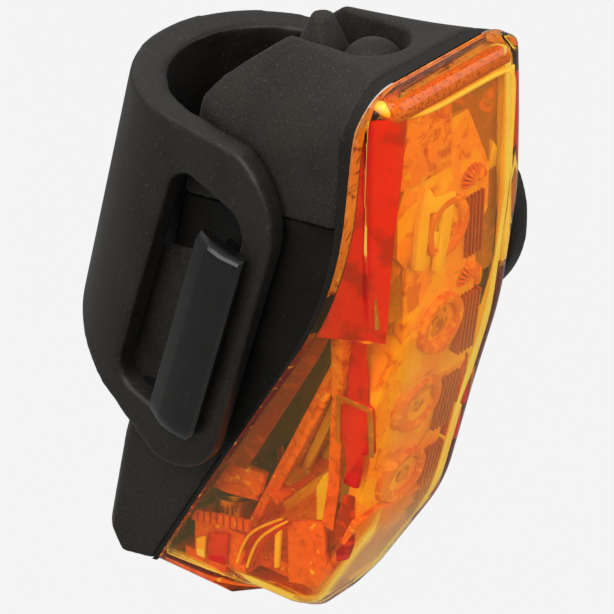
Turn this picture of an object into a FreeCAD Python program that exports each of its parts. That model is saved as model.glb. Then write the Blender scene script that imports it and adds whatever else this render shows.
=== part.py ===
"""Bicycle tail light for a seatpost, with a hooked strap, lamps, lasers and a charging port.

Millimetres. +Z is up, the lens faces -Y and the seatpost stands behind, leaning back at the
top. The origin is the middle of the saddle that rests on the post.
"""
import FreeCAD, Part
import math
import os
import re

import Sketcher

SIZES = {
    # The post and the fits
    "post_tilt": (17, "lean of the seatpost from upright, degrees"),
    "fit": (0.05, "gap between parts that seat on each other"),
    "clearance": (0.3, "gap round parts that move or are soft"),
    # Outer form: level, front reach, half widths at front, sides and back, and rise of the back
    "foot_level": (-41.8, "bottom face"),
    "foot_front": (14.1, "front reach at the foot"),
    "foot_nose": (3.2, "half width of the nose at the foot"),
    "foot_side": (7.6, "half width of the rear block at the foot"),
    "foot_rear": (8.9, "half width of the back at the foot"),
    "foot_rise": (0, "height of the back face at the foot"),
    "jaw_level": (-38.8, "top of the rounded bottom edge"),
    "jaw_front": (16.0, "front reach at the jaw"),
    "jaw_nose": (7.9, "half width of the front at the jaw"),
    "jaw_side": (8.5, "half width at the jaw"),
    "jaw_rear": (9.3, "half width of the back at the jaw"),
    "jaw_rise": (2.0, "height of the back face at the jaw"),
    "chin_level": (-25.5, "bend where the chin starts"),
    "chin_front": (24.3, "front reach at the chin"),
    "chin_nose": (8.6, "half width of the front at the chin"),
    "chin_side": (10.8, "half width at the chin"),
    "chin_rear": (9.8, "half width of the back at the chin"),
    "chin_rise": (3.0, "height of the back face at the chin"),
    "belly_level": (-11.9, "level of the belly"),
    "belly_front": (27.2, "front reach at the belly"),
    "belly_nose": (9.7, "half width of the front at the belly"),
    "belly_side": (12.7, "half width at the belly"),
    "belly_rear": (10.4, "half width of the saddle wings at the belly"),
    "belly_rise": (2.9, "height of the saddle wings at the belly"),
    "waist_level": (-0.4, "level of the waist"),
    "waist_front": (30.2, "front reach at the waist"),
    "waist_nose": (10.3, "half width of the front at the waist"),
    "waist_side": (14.0, "half width at the waist"),
    "waist_rear": (10.4, "half width of the saddle wings at the waist"),
    "waist_rise": (2.8, "height of the saddle wings at the waist"),
    "chest_level": (12.6, "level of the chest"),
    "chest_front": (30.8, "front reach at the chest"),
    "chest_nose": (12.2, "half width of the front at the chest"),
    "chest_side": (14.0, "half width at the chest"),
    "chest_rear": (10.4, "half width of the saddle wings at the chest"),
    "chest_rise": (4.0, "height of the saddle wings at the chest"),
    "shoulder_level": (23.0, "level of the shoulder"),
    "shoulder_front": (30.8, "front reach at the shoulder"),
    "shoulder_nose": (12.1, "half width of the front at the shoulder"),
    "shoulder_side": (13.9, "half width at the shoulder"),
    "shoulder_rear": (10.4, "half width of the back at the shoulder"),
    "shoulder_rise": (5.0, "height of the back face at the shoulder"),
    "crown_level": (34.0, "level above the roof where the form ends"),
    "crown_front": (30.5, "front reach at the crown"),
    "crown_nose": (11.9, "half width of the front at the crown"),
    "crown_side": (13.6, "half width at the crown"),
    "crown_rear": (10.4, "half width of the back at the crown"),
    "crown_rise": (-4.0, "height of the back face at the crown"),
    "front_corner": (3.5, "radius of the upright front corners"),
    "foot_corner": (1.4, "radius of the front corners at the foot"),
    "rear_corner": (1.6, "size of the upright rear corners"),
    "notch_front": (7.8, "reach of the notch's front edge at the foot"),
    "notch_back": (4.3, "reach of the notch's back edge at the foot"),
    # Roof
    "roof_level": (31.6, "top over the lens"),
    "roof_half": (7.5, "half width of the flat top over the lens"),
    "roof_side": (14.1, "half width where the roof meets the sides"),
    "roof_drop": (6.4, "height of the rounded roof corner over the lens"),
    "roof_bulge": (0.7071, "fullness of the roof corner over the lens"),
    "horn_level": (30.6, "top of the horns at the back"),
    "horn_half": (4.6, "half width of the top at the horns"),
    "horn_side": (11.6, "half width where the back of the roof meets the wings"),
    "horn_drop": (12.5, "height of the sloping shoulder at the back"),
    "horn_bulge": (0.6, "fullness of the sloping shoulder"),
    "horn_reach": (9.3, "distance of the horns ahead of the origin"),
    # Parting line between lens and housing, seen from the side
    "parting_top": (27.6, "reach of the parting line at the crown"),
    "parting_knee_reach": (25.0, "reach of the bend in the parting line"),
    "parting_knee_level": (7.0, "level of the bend in the parting line"),
    "parting_foot": (6.9, "distance of the parting line behind the origin at the foot"),
    "parting_bend": (45, "radius of the bend in the parting line"),
    "seal_top": (2.0, "width of the seal band over the top"),
    "seal_low": (0.6, "width of the seal band below the bend"),
    # Saddle
    "saddle_radius": (14.0, "radius of the hollow that rests on the post"),
    "pad_thickness": (1.2, "thickness of the saddle pad"),
    "pad_half_height": (9.5, "half height of the saddle pad"),
    "pad_half_width": (9.0, "half width of the saddle pad"),
    "wing_gap_top": (-3.9, "upper edge of the gap in the saddle wings"),
    "wing_gap_low": (-9.2, "lower edge of the gap in the saddle wings"),
    "wing_gap_floor": (0.9, "rise of the gap's floor"),
    # Walls
    "lens_wall": (1.5, "wall of the lens"),
    "skin": (1.2, "thickness of the rubber boots"),
    "housing_wall": (1.4, "wall of the hard housing under the boots"),
    "flat_wall": (0.8, "extra wall behind the hooks' flats"),
    "boot_seam_level": (10.1, "level of the upper boot's lower edge at the origin"),
    "boot_seam_slope": (12.3, "rise of that edge towards the front, degrees"),
    "heel_seam": (-17.8, "height along the post of the lower boot's upper edge"),
    "floor_level": (26.0, "floor of the button recess"),
    "roof_rubber": (1.5, "rubber round the button recess"),
    "roof_plate": (1.6, "hard wall round the rubber of the recess"),
    # Buttons and switches
    "recess_half": (4.1, "half width of the button recess"),
    "rear_button_reach": (11.5, "distance of the rear button ahead of the origin"),
    "button_gap": (0.4, "gap between the two buttons' feet"),
    "button_travel": (0.8, "travel of each button"),
    "button_radius": (3.4, "radius of the front button"),
    "button_skirt": (1.4, "height of the upright part of the front button"),
    "dome_height": (2.4, "height of the front button's dome"),
    "hump_radius": (3.2, "radius of the rear button's foot"),
    "hump_tip": (1.2, "radius of the rear button's tip"),
    "hump_height": (4.6, "height of the rear button"),
    "stem_radius": (1.5, "radius of the buttons' stems"),
    "switch_height": (2.4, "height of a switch"),
    "switch_width": (3.8, "width of a switch"),
    "plunger_radius": (1.2, "radius of a switch's plunger"),
    "plunger_reach": (1.2, "how far a plunger stands above its switch"),
    "board_thickness": (1.0, "thickness of the circuit boards"),
    "button_board_level": (19.4, "top of the board under the buttons"),
    "button_board_half": (6.2, "half width of the board under the buttons"),
    "button_board_front": (22.6, "front reach of the board under the buttons"),
    "button_board_back": (9.3, "back reach of the board under the buttons"),
    "rib_inner": (5.4, "inner end of the ribs under that board"),
    "rib_height": (1.6, "height of those ribs"),
    "rib_reach": (13.0, "reach of the ribs' back face"),
    "rib_length": (6.0, "length of the ribs along the board"),
    # Hooks and strap
    "hook_half_height": (13.6, "half height of a hook bar"),
    "hook_front": (11.4, "front edge of a hook bar, ahead of the saddle"),
    "hook_back": (4.8, "back edge of a hook bar"),
    "hook_inner": (16.4, "inner face of a hook bar"),
    "hook_thickness": (2.2, "thickness of a hook bar"),
    "hook_seat": (12.6, "half width over the flats that the hooks stand on"),
    "seat_rim": (0.6, "how far a flat reaches round the hook's stem"),
    "stem_front": (9.0, "front face of a hook's stem"),
    "stem_back": (6.2, "back face of a hook's stem"),
    "stem_half_height": (11.0, "half height of a hook's stem"),
    "hook_screw_height": (6.5, "height of a hook's screws above and below its middle"),
    "strap_half": (14.6, "half width of the strap's ring at its upper edge"),
    "strap_half_low": (15.2, "half width of the strap's ring at its lower edge"),
    "strap_back": (17.8, "rise of the strap's back at its upper edge"),
    "strap_back_foot": (15.4, "rise of the strap's back at its lower edge"),
    "strap_thickness": (4.4, "thickness of the strap at the back"),
    "strap_side_thickness": (3.1, "thickness of the strap at the sides"),
    "strap_centre": (3.0, "rise where the strap's sides meet the ring"),
    "strap_end": (13.4, "front end of the strap, ahead of the saddle"),
    "strap_end_inner": (13.3, "half width inside the strap's ends"),
    "strap_end_outer": (16.0, "half width over the strap's ends"),
    "strap_back_top": (18.5, "top edge of the strap at the back"),
    "strap_back_low": (-11.8, "lower edge of the strap at the back"),
    "strap_side_top": (23.8, "top edge of the strap at the sides"),
    "strap_side_low": (-20.2, "lower edge of the strap at the sides"),
    "strap_crest": (5.5, "reach of the strap's highest point"),
    "strap_hip": (5.5, "reach of the strap's lowest point"),
    "strap_end_top": (13.4, "top of the strap's front edge"),
    "strap_end_low": (-13.6, "foot of the strap's front edge"),
    "window_front": (9.3, "front edge of the window round a hook"),
    "window_back": (2.0, "back edge of the window, behind the saddle"),
    "window_top": (16.6, "top of the window"),
    "window_low": (-14.4, "foot of the window"),
    "window_corner": (3.0, "corner radius of the window"),
    "tab_reach": (24.6, "front end of the pull tab, ahead of the saddle"),
    "tab_top": (17.0, "top of the pull tab"),
    "tab_low": (-1.5, "foot of the pull tab"),
    "tab_round": (3.7, "size of the pull tab's rounded front"),
    "tab_root": (4.0, "how far the pull tab runs down inside the strap's end"),
    "tab_inner": (15.3, "inner face of the pull tab"),
    "tab_outer": (18.2, "outer face of the pull tab"),
    # Light board, its carrier and the optics
    "board_lean": (8, "lean of the light board, degrees"),
    "board_reach": (22.5, "reach of the light board's back face at the origin's level"),
    "board_top": (25.0, "top of the light board"),
    "board_low": (-24.0, "foot of the light board"),
    "board_half": (7.6, "half width of the light board"),
    "board_tip": (3.6, "half width of the light board at its top"),
    "board_slope": (6.5, "height of the slopes at the light board's top"),
    "board_foot_rise": (7.0, "height of the narrow foot of board and optic plate"),
    "board_full_rise": (14.0, "height above the foot's end where both are at their full width"),
    "waist_play": (1.0, "play of the waist above and below the round optics"),
    "board_waist_rise": (3.0, "height above the round optics where the waist ends"),
    "carrier_thickness": (1.6, "thickness of the carrier plate"),
    "carrier_top": (25.2, "top of the carrier's arms"),
    "carrier_middle": (22.2, "top of the carrier between its arms"),
    "carrier_low": (-28.0, "foot of the carrier"),
    "carrier_half": (10.0, "half width of the carrier at the top"),
    "carrier_foot_rise": (6.0, "height of the carrier's narrow foot"),
    "carrier_slope": (3.0, "height of the slope at the top of the carrier's sides"),
    "carrier_slope_width": (1.2, "width of that slope"),
    "carrier_foot_half": (6.0, "half width of the carrier at the foot"),
    "carrier_screw_level": (21.5, "height of the carrier's screws"),
    "carrier_screw_half": (7.8, "half spacing of the carrier's screws"),
    "carrier_boss": (4.0, "width of the posts that the carrier is screwed to"),
    "carrier_boss_length": (7.0, "length of those posts"),
    "lamp_pitch": (11.2, "spacing of the lamps"),
    "top_lamp": (12.0, "height of the top lamp"),
    "lamp_width": (3.5, "width of a lamp"),
    "lamp_height": (2.8, "height of a lamp"),
    "lamp_depth": (0.7, "thickness of a lamp"),
    "chip_half": (2.9, "half spacing of the upper chips"),
    "chip_width": (3.0, "width of a chip"),
    "chip_height": (4.0, "height of a chip"),
    "chip_level": (6.4, "height of the upper chips"),
    "low_chip_level": (-4.8, "height of the lower chip"),
    "optic_wall": (1.3, "wall of the optic plate"),
    "optic_half": (7.4, "half width of the optic plate"),
    "optic_waist": (5.8, "half width of the optic plate beside the round optics"),
    "optic_gap": (1.4, "gap between the optic plate and the lens"),
    "optic_top": (24.5, "top of the optic plate"),
    "optic_low": (-25.0, "foot of the optic plate"),
    "optic_slope": (8.0, "height of the slopes at the optic plate's top"),
    "ring_width": (5.0, "width of the round hollow over each lamp"),
    "round_radius": (1.8, "radius of a round side optic"),
    "round_half": (7.9, "half spacing of the round side optics"),
    "round_low": (1.0, "foot of the round side optics"),
    "round_height": (7.0, "height of the round side optics"),
    "round_bevel": (0.6, "bevel round the top of a round side optic"),
    "guide_inner": (8.1, "inner face of a light guide"),
    "guide_outer": (9.4, "outer face of a light guide"),
    "guide_top": (19.4, "top of a light guide"),
    "guide_low": (9.5, "foot of a light guide"),
    "guide_depth": (2.6, "depth of a light guide"),
    "guide_slope": (1.5, "height of the slope at a light guide's top"),
    # Lasers and their tray
    "laser_half": (3.7, "half spacing of the lasers"),
    "laser_reach": (2.4, "distance of the lasers ahead of the origin"),
    "barrel_radius": (2.4, "radius of a laser barrel"),
    "barrel_length": (8.6, "length of a laser barrel"),
    "barrel_wall": (0.6, "wall of a laser barrel"),
    "lens_seat": (2.6, "height of the step above a laser's lens"),
    "laser_lens_height": (2.0, "height of a laser's lens"),
    "laser_lens_rim": (1.4, "height of the rim of a laser's lens"),
    "laser_lens_dish": (0.2, "depth of the dish in a laser's lens"),
    "beam_radius": (1.2, "radius of the passage for the beam"),
    "diode_radius": (1.7, "radius of a laser diode"),
    "diode_length": (2.4, "length of a laser diode"),
    "tray_level": (-38.7, "top of the tray's floor"),
    "tray_floor_half": (5.9, "half width of the tray's floor"),
    "tray_floor_front": (2.6, "front reach of the tray's floor"),
    "tray_floor_back": (3.4, "back of the tray's floor behind the origin"),
    "tray_half": (6.4, "half width of the laser block"),
    "tray_front": (6.0, "front reach of the laser block"),
    "tray_back": (1.5, "back of the laser block behind the origin"),
    "tray_top": (-33.3, "top of the laser block"),
    "arm_half": (3.6, "half width of the tray's arm"),
    "arm_thickness": (1.8, "thickness of the tray's arm"),
    "arm_knee": (13.4, "reach of the bend in the tray's arm"),
    "shield_thickness": (1.2, "thickness of the slanting shield"),
    "shield_top_level": (-3.2, "level of the shield's upper edge"),
    "shield_half": (8.0, "half width of the shield"),
    "shield_low_half": (5.4, "half width of the shield's foot"),
    # Battery and charging
    "battery_half": (7.6, "half width of the battery"),
    "battery_depth": (8.6, "thickness of the battery"),
    "battery_top": (13.0, "top of the battery"),
    "battery_low": (-20.0, "foot of the battery"),
    "cradle_wall": (1.2, "wall of the battery's cradle"),
    "cradle_lip": (5.2, "depth of the cradle's lips"),
    "cradle_inset": (0.5, "how far each end of the cradle stays inside the battery's"),
    "port_height": (-31.0, "height of the charging port along the post"),
    "port_half": (3.8, "half width of the socket"),
    "port_tall": (2.8, "height of the socket"),
    "port_depth": (5.0, "depth of the socket"),
    "port_wall": (0.4, "wall of the socket"),
    "tongue_half": (2.4, "half width of the socket's tongue"),
    "tongue_thickness": (0.6, "thickness of the socket's tongue"),
    "tongue_reach": (2.0, "how far the tongue stands in the socket"),
    "charge_board_half": (6.2, "half width of the charging board"),
    "ledge_half": (4.5, "half width of the ledge under the charging board"),
    "ledge_depth": (5.6, "depth of that ledge behind the saddle"),
    "cover_face": (-0.2, "rise of the port cover's outer face"),
    "cover_half": (6.2, "half width of the port cover"),
    "cover_low": (-35.0, "foot of the port cover"),
    "cover_hinge": (-24.4, "height of the port cover's hinge"),
    "cover_bead": (0.7, "radius of the port cover's hinge bead"),
    "cover_thickness": (0.9, "thickness of the port cover"),
    "plug_length": (1.6, "how far the cover's plug goes into the socket"),
    # Fasteners and leads
    "screw_radius": (0.9, "radius of the small screws"),
    "screw_head": (1.7, "radius of the small screws' heads"),
    "head_height": (1.1, "height of the small screws' heads"),
    "screw_grip": (3.0, "depth that a screw reaches into its part"),
    "lead_radius": (0.45, "radius of the leads"),
    "lead_loop": (3.0, "height of the lasers' leads over the diodes"),
    "laser_lead_half": (4.7, "half spacing of the lasers' leads on the charging board"),
    "laser_lead_rise": (-4.6, "rise of the lasers' leads on the charging board"),
    "charge_lead_half": (5.3, "half spacing of the battery's lower leads"),
    "charge_lead_rise": (-6.3, "rise of the battery's lower leads on the charging board"),
    "cell_lead_rise": (-12.0, "rise of the battery's leads on the battery"),
    "supply_lead_half": (3.0, "half spacing of the battery's upper leads"),
    "ribbon_half": (2.5, "half width of the ribbon cable"),
    "ribbon_thickness": (0.3, "thickness of the ribbon cable"),
    "ribbon_reach": (21.9, "reach of the ribbon cable under the button board"),
    "ribbon_level": (14.2, "level where the ribbon cable meets the light board"),
    "ribbon_bend": (1.7, "radius of the ribbon cable's bend"),
}

STATIONS = ("foot", "jaw", "chin", "belly", "waist", "chest", "shoulder", "crown")
FAR = 70.0
NEAR = 45.0
UP = FreeCAD.Vector(0, 0, 1)
ALONG_X = FreeCAD.Vector(1, 0, 0)
ALONG_Y = FreeCAD.Vector(0, 1, 0)

doc = FreeCAD.newDocument("TailLight")
sheet = doc.addObject("Spreadsheet::Sheet", "Sizes")
for row, (alias, (amount, meaning)) in enumerate(SIZES.items(), start=1):
    sheet.set(f"A{row}", meaning)
    sheet.set(f"B{row}", str(amount))
    sheet.setAlias(f"B{row}", alias)
doc.recompute()


def size(alias):
    """Read one driving dimension from the sheet."""
    return float(sheet.get(alias))


def bound(expression):
    """Turn an expression written with bare aliases into one that reads the sheet."""
    return re.sub(r"[a-z_]+", lambda m: f"Sizes.{m[0]}" if m[0] in SIZES else m[0], str(expression))


def vector(x, y, z):
    """Shorten the making of a point."""
    return FreeCAD.Vector(x, y, z)


# Sketch-based pieces

def new_body(label):
    """Start a piece made of sketches."""
    body = doc.addObject("PartDesign::Body", label)
    body.Label = label
    return body


def new_sketch(body, role):
    """Put an empty sketch on one of the body's own origin planes."""
    sketch = body.newObject("Sketcher::SketchObject", "Sketch")
    plane = next(item for item in body.Origin.OriginFeatures if item.Role == role)
    sketch.AttachmentSupport = (plane, [""])
    sketch.MapMode = "FlatFace"
    return sketch


def bind_point(sketch, geometry, which, start, expressions):
    """Hold a sketch point at a pair of expressions measured from the origin."""
    for kind, at, expression in zip(("DistanceX", "DistanceY"), start, expressions):
        rule = Sketcher.Constraint(kind, -1, 1, geometry, which, at)
        index = sketch.addConstraint(rule)
        sketch.setExpression(f"Constraints[{index}]", bound(expression))


def outline(sketch, corners):
    """Draw a closed polygon whose corners are pairs of expressions."""
    count = len(corners)
    first = sketch.GeometryCount
    turns = [2 * math.pi * (index + 0.3) / count for index in range(count)]
    starts = [vector(math.cos(turn), math.sin(turn), 0) for turn in turns]
    for index in range(count):
        sketch.addGeometry(Part.LineSegment(starts[index], starts[(index + 1) % count]))
    for index in range(count):
        following = first + (index + 1) % count
        sketch.addConstraint(Sketcher.Constraint("Coincident", first + index, 2, following, 1))
        bind_point(sketch, first + index, 1, starts[index], corners[index])


def circle(sketch, centre, radius):
    """Draw a circle at a pair of expressions."""
    index = sketch.addGeometry(Part.Circle(vector(1, 1, 0), UP, 1))
    bind_point(sketch, index, 3, (1, 1), centre)
    rule = sketch.addConstraint(Sketcher.Constraint("Radius", index, 1))
    sketch.setExpression(f"Constraints[{rule}]", bound(radius))


def rectangle(low_x, low_y, high_x, high_y):
    """Give the four corners of a rectangle."""
    return [(low_x, low_y), (high_x, low_y), (high_x, high_y), (low_x, high_y)]


def mirrored(corners):
    """Close a symmetric outline from its right half, listed from the foot upwards."""
    return corners + [(f"-({across})", up) for across, up in reversed(corners)]


def pad(body, role, corners, length, symmetric=False, backwards=False):
    """Raise a polygon by a length."""
    sketch = new_sketch(body, role)
    outline(sketch, corners)
    feature = body.newObject("PartDesign::Pad", "Pad")
    feature.Profile = sketch
    feature.SideType = "Symmetric" if symmetric else "One side"
    feature.Reversed = backwards
    feature.setExpression("Length", bound(length))
    return feature


def pierce(body, role, circles):
    """Cut round holes right through the body."""
    sketch = new_sketch(body, role)
    for centre, radius in circles:
        circle(sketch, centre, radius)
    feature = body.newObject("PartDesign::Pocket", "Holes")
    feature.Profile = sketch
    feature.Type = "ThroughAll"
    feature.SideType = "Symmetric"
    return feature


def cut_window(body, role, corners):
    """Cut a polygon right through the body."""
    sketch = new_sketch(body, role)
    outline(sketch, corners)
    feature = body.newObject("PartDesign::Pocket", "Window")
    feature.Profile = sketch
    feature.Type = "ThroughAll"
    feature.SideType = "Symmetric"
    return feature


def turned(label, corners):
    """Turn a profile of (radius, height) corners about the upright axis."""
    body = new_body(label)
    sketch = new_sketch(body, "XZ_Plane")
    outline(sketch, corners)
    feature = body.newObject("PartDesign::Revolution", "Turning")
    feature.Profile = sketch
    feature.ReferenceAxis = (sketch, ["V_Axis"])
    feature.Angle = 360
    return body


def place(item, at=("0", "0", "0"), lean=None):
    """Set a piece down at three expressions, leaning about X by an angle's expression."""
    start = 1 if lean else 0
    item.Placement = FreeCAD.Placement(vector(0, 0, 0), FreeCAD.Rotation(ALONG_X, start))
    if lean:
        item.setExpression(".Placement.Rotation.Angle", bound(lean))
    for axis, expression in zip("xyz", at):
        item.setExpression(f".Placement.Base.{axis}", bound(expression))
    return item


def group(label, members):
    """Keep several like solids as one piece."""
    compound = doc.addObject("Part::Compound", label)
    compound.Label = label
    compound.Links = members
    return compound


def feature(label, shape):
    """Keep a shape that no sketch or primitive makes."""
    item = doc.addObject("Part::Feature", label)
    item.Label = label
    item.Shape = shape
    item.Placement = shape.Placement
    return item


# Forms shared by the shells

def on_post(across, rise, height):
    """Place a point given beside the post: across, behind the saddle, and up along the post."""
    tilt = math.radians(size("post_tilt"))
    back = rise * math.cos(tilt) - height * math.sin(tilt)
    up = rise * math.sin(tilt) + height * math.cos(tilt)
    return vector(across, back, up)


def back_at(rise, level):
    """Give the Y of the plane that stands at a rise behind the saddle, at a level."""
    tilt = math.radians(size("post_tilt"))
    return (rise - level * math.sin(tilt)) / math.cos(tilt)


def parting_at(level):
    """Give the Y of the parting line's straight runs at a level."""
    knee_level = size("parting_knee_level")
    knee = -size("parting_knee_reach")
    if level > knee_level:
        share = (level - knee_level) / (size("crown_level") - knee_level)
        return knee + share * (-size("parting_top") - knee)
    share = (knee_level - level) / (knee_level - size("foot_level"))
    return knee + share * (size("parting_foot") - knee)


def closed_wire(points, arcs=()):
    """Join points by lines, with an arc through each point whose index is in arcs."""
    edges = []
    index = 0
    count = len(points)
    while index < count:
        if index + 1 in arcs:
            ends = (points[index], points[index + 1], points[(index + 2) % count])
            edges.append(Part.Arc(*ends).toShape())
            index += 2
        else:
            edges.append(Part.LineSegment(points[index], points[(index + 1) % count]).toShape())
            index += 1
    return Part.Wire(edges)


def prism(points, travel, arcs=()):
    """Push a closed outline along a vector."""
    return Part.Face(closed_wire(points, arcs)).extrude(travel)


def tuck(radius):
    """Give how far the middle of a quarter-round corner lies inside its sharp corner."""
    return radius * (1 - math.sqrt(0.5))


def section(name, inset, rear_plane):
    """Outline the form at one station, shrunk by inset, with its back kept ahead of a plane."""
    level = size(f"{name}_level")
    front = inset - size(f"{name}_front")
    nose = size(f"{name}_nose") - inset
    side = size(f"{name}_side") - inset
    back_half = size(f"{name}_rear") - inset
    rear = back_at(min(size(f"{name}_rise") - inset, rear_plane), level)
    rear_corner = size("rear_corner")
    widest = parting_at(level) - size("clearance")
    shrink = min(inset, 1.0)
    if name == "foot":
        level += inset
        corner = size("foot_corner") - shrink
        notch = [(nose, inset - size("notch_front")), (side, inset - size("notch_back"))]
    else:
        corner = size("front_corner") - shrink
        start = front + corner
        notch = [(nose + share * (side - nose), start + share * (widest - start))
                 for share in (1 / 3, 2 / 3)]
    half = [
        (nose - corner, front), (nose - tuck(corner), front + tuck(corner)),
        (nose, front + corner), *notch, (side, widest),
        (back_half, rear - rear_corner), (back_half - rear_corner, rear),
    ]
    points = [vector(x, y, level) for x, y in half]
    points += [vector(-x, y, level) for x, y in reversed(half)]
    return closed_wire(points, arcs=(1, len(points) - 2))


def roof(inset):
    """Make the block under the rounded roof, which flattens into sloping shoulders at the back."""
    corners = {
        name: [size(f"{name}_{part}") for part in ("level", "half", "side", "drop", "bulge")]
        for name in ("roof", "horn")
    }
    stations = (
        (-NEAR, "roof"), (-size("parting_top"), "roof"), (-size("horn_reach"), "horn"),
        (NEAR, "horn"),
    )
    wires = []
    for reach, name in stations:
        top, flat, side, drop, bulge = corners[name]
        top -= inset
        side -= inset
        middle = (flat + bulge * (side - flat), top - (1 - bulge) * drop)
        half = [(NEAR, -NEAR), (NEAR, top - drop), (side, top - drop), middle, (flat, top)]
        points = [vector(x, reach, z) for x, z in half]
        points += [vector(-x, reach, z) for x, z in reversed(half)]
        wires.append(closed_wire(points, arcs=(3, 6)))
    return Part.makeLoft(wires, True, True)


def form(inset, rear_plane=FAR):
    """Give the whole outer form of lens and housing, shrunk by inset and hollowed for the post."""
    hull = Part.makeLoft([section(name, inset, rear_plane) for name in STATIONS], True, True)
    shape = hull.common(roof(inset))
    return shape.cut(post_cylinder(size("saddle_radius") + inset, FAR))


def ahead_of_parting(top_shift, low_shift):
    """Fill the space in front of the parting line, which is moved back by the shifts."""
    knee = vector(-FAR, -size("parting_knee_reach") + low_shift, size("parting_knee_level"))
    rise = (FAR - knee.z) / (size("crown_level") - knee.z)
    top_y = knee.y + rise * (top_shift - size("parting_top") - knee.y)
    fall = (FAR + knee.z) / (knee.z - size("foot_level"))
    foot_y = knee.y + fall * (size("parting_foot") + low_shift - knee.y)
    top = vector(-FAR, top_y, FAR)
    foot = vector(-FAR, foot_y, -FAR)
    to_top = (top - knee).normalize()
    to_foot = (foot - knee).normalize()
    half_turn = (math.pi - to_top.getAngle(to_foot)) / 2
    reach = size("parting_bend") * math.tan(half_turn)
    inward = (to_top + to_foot).normalize()
    depth = size("parting_bend") * (1 / math.cos(half_turn) - 1)
    points = [
        vector(-FAR, -FAR, FAR), top, knee + to_top * reach, knee + inward * depth,
        knee + to_foot * reach, foot, vector(-FAR, -FAR, -FAR),
    ]
    return prism(points, vector(2 * FAR, 0, 0), arcs=(3,))


def post_cylinder(radius, half_height):
    """Fill the round space of the post beside the saddle."""
    base = on_post(0, size("saddle_radius"), -half_height)
    return Part.makeCylinder(radius, 2 * half_height, base, on_post(0, 0, 1))


def block(low, high):
    """Make a block between two corners."""
    return Part.makeBox(high[0] - low[0], high[1] - low[1], high[2] - low[2], vector(*low))


def post_block(low, high):
    """Make a block whose corners are (across, rise, height) beside the post."""
    shape = block(low, high)
    shape.rotate(vector(0, 0, 0), ALONG_X, size("post_tilt"))
    return shape


def side_prism(points, arcs=()):
    """Push an outline of (rise, height) points right across."""
    shape = prism([vector(-FAR, v, t) for v, t in points], vector(2 * FAR, 0, 0), arcs)
    shape.rotate(vector(0, 0, 0), ALONG_X, size("post_tilt"))
    return shape


def above_boot_seam(shift):
    """Fill the space above the upper boot's lower edge."""
    shape = block((-FAR, -FAR, shift), (FAR, FAR, FAR))
    shape.rotate(vector(0, 0, 0), ALONG_X, -size("boot_seam_slope"))
    shape.translate(vector(0, 0, size("boot_seam_level")))
    return shape


def below_heel_seam(shift):
    """Fill the space below the lower boot's upper edge."""
    return post_block((-FAR, -FAR, -FAR), (FAR, FAR, size("heel_seam") - shift))


# Sizes that add up to each button's distance ahead of the origin
BUTTON_REACH = {
    "rear": ("rear_button_reach",),
    "front": ("rear_button_reach", "hump_radius", "button_gap", "button_radius"),
}


def button_places():
    """List each button's name and Y."""
    return [(name, -sum(size(alias) for alias in run)) for name, run in BUTTON_REACH.items()]


def recess(grow=0.0):
    """Fill the slot that the buttons stand in, with a wall of some thickness round it."""
    half = size("recess_half") + grow
    (_, rear), (_, front) = button_places()
    back = half + rear
    level = size("floor_level") - grow
    points = [
        vector(-half, back, level), vector(-half, front, level), vector(0, front - half, level),
        vector(half, front, level), vector(half, back, level),
    ]
    return prism(points, vector(0, 0, NEAR), arcs=(2,))


def stem_holes():
    """Fill the two holes that the buttons' stems run in."""
    radius = size("stem_radius") + size("clearance")
    holes = [Part.makeCylinder(radius, FAR, vector(0, y, 0)) for _, y in button_places()]
    return holes[0].fuse(holes[1])


def wing_gaps():
    """Fill the gap half way up each saddle wing."""
    low, top = size("wing_gap_low"), size("wing_gap_top")
    return post_block((-FAR, size("wing_gap_floor"), low), (FAR, FAR, top))


def shell_depth():
    """Give the thickness of rubber and hard wall together."""
    return size("skin") + size("housing_wall")


def hook_inner_wall():
    """Give the half width where a hook's screws start, inside the housing."""
    return size("hook_seat") - shell_depth() - size("flat_wall")


def stem_middle():
    """Give the rise of the hook stems' middle."""
    return -(size("stem_front") + size("stem_back")) / 2


def hook_screw_places():
    """List side and foot of each hook screw."""
    spots = []
    for side in (-1, 1):
        for sign in (-1, 1):
            height = sign * size("hook_screw_height")
            spots.append((side, on_post(side * hook_inner_wall(), stem_middle(), height)))
    return spots


def pad_wall():
    """Give the rise of the housing's inner face behind the saddle pad."""
    return -(size("pad_thickness") + size("housing_wall") + size("skin"))


# Shells

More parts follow.
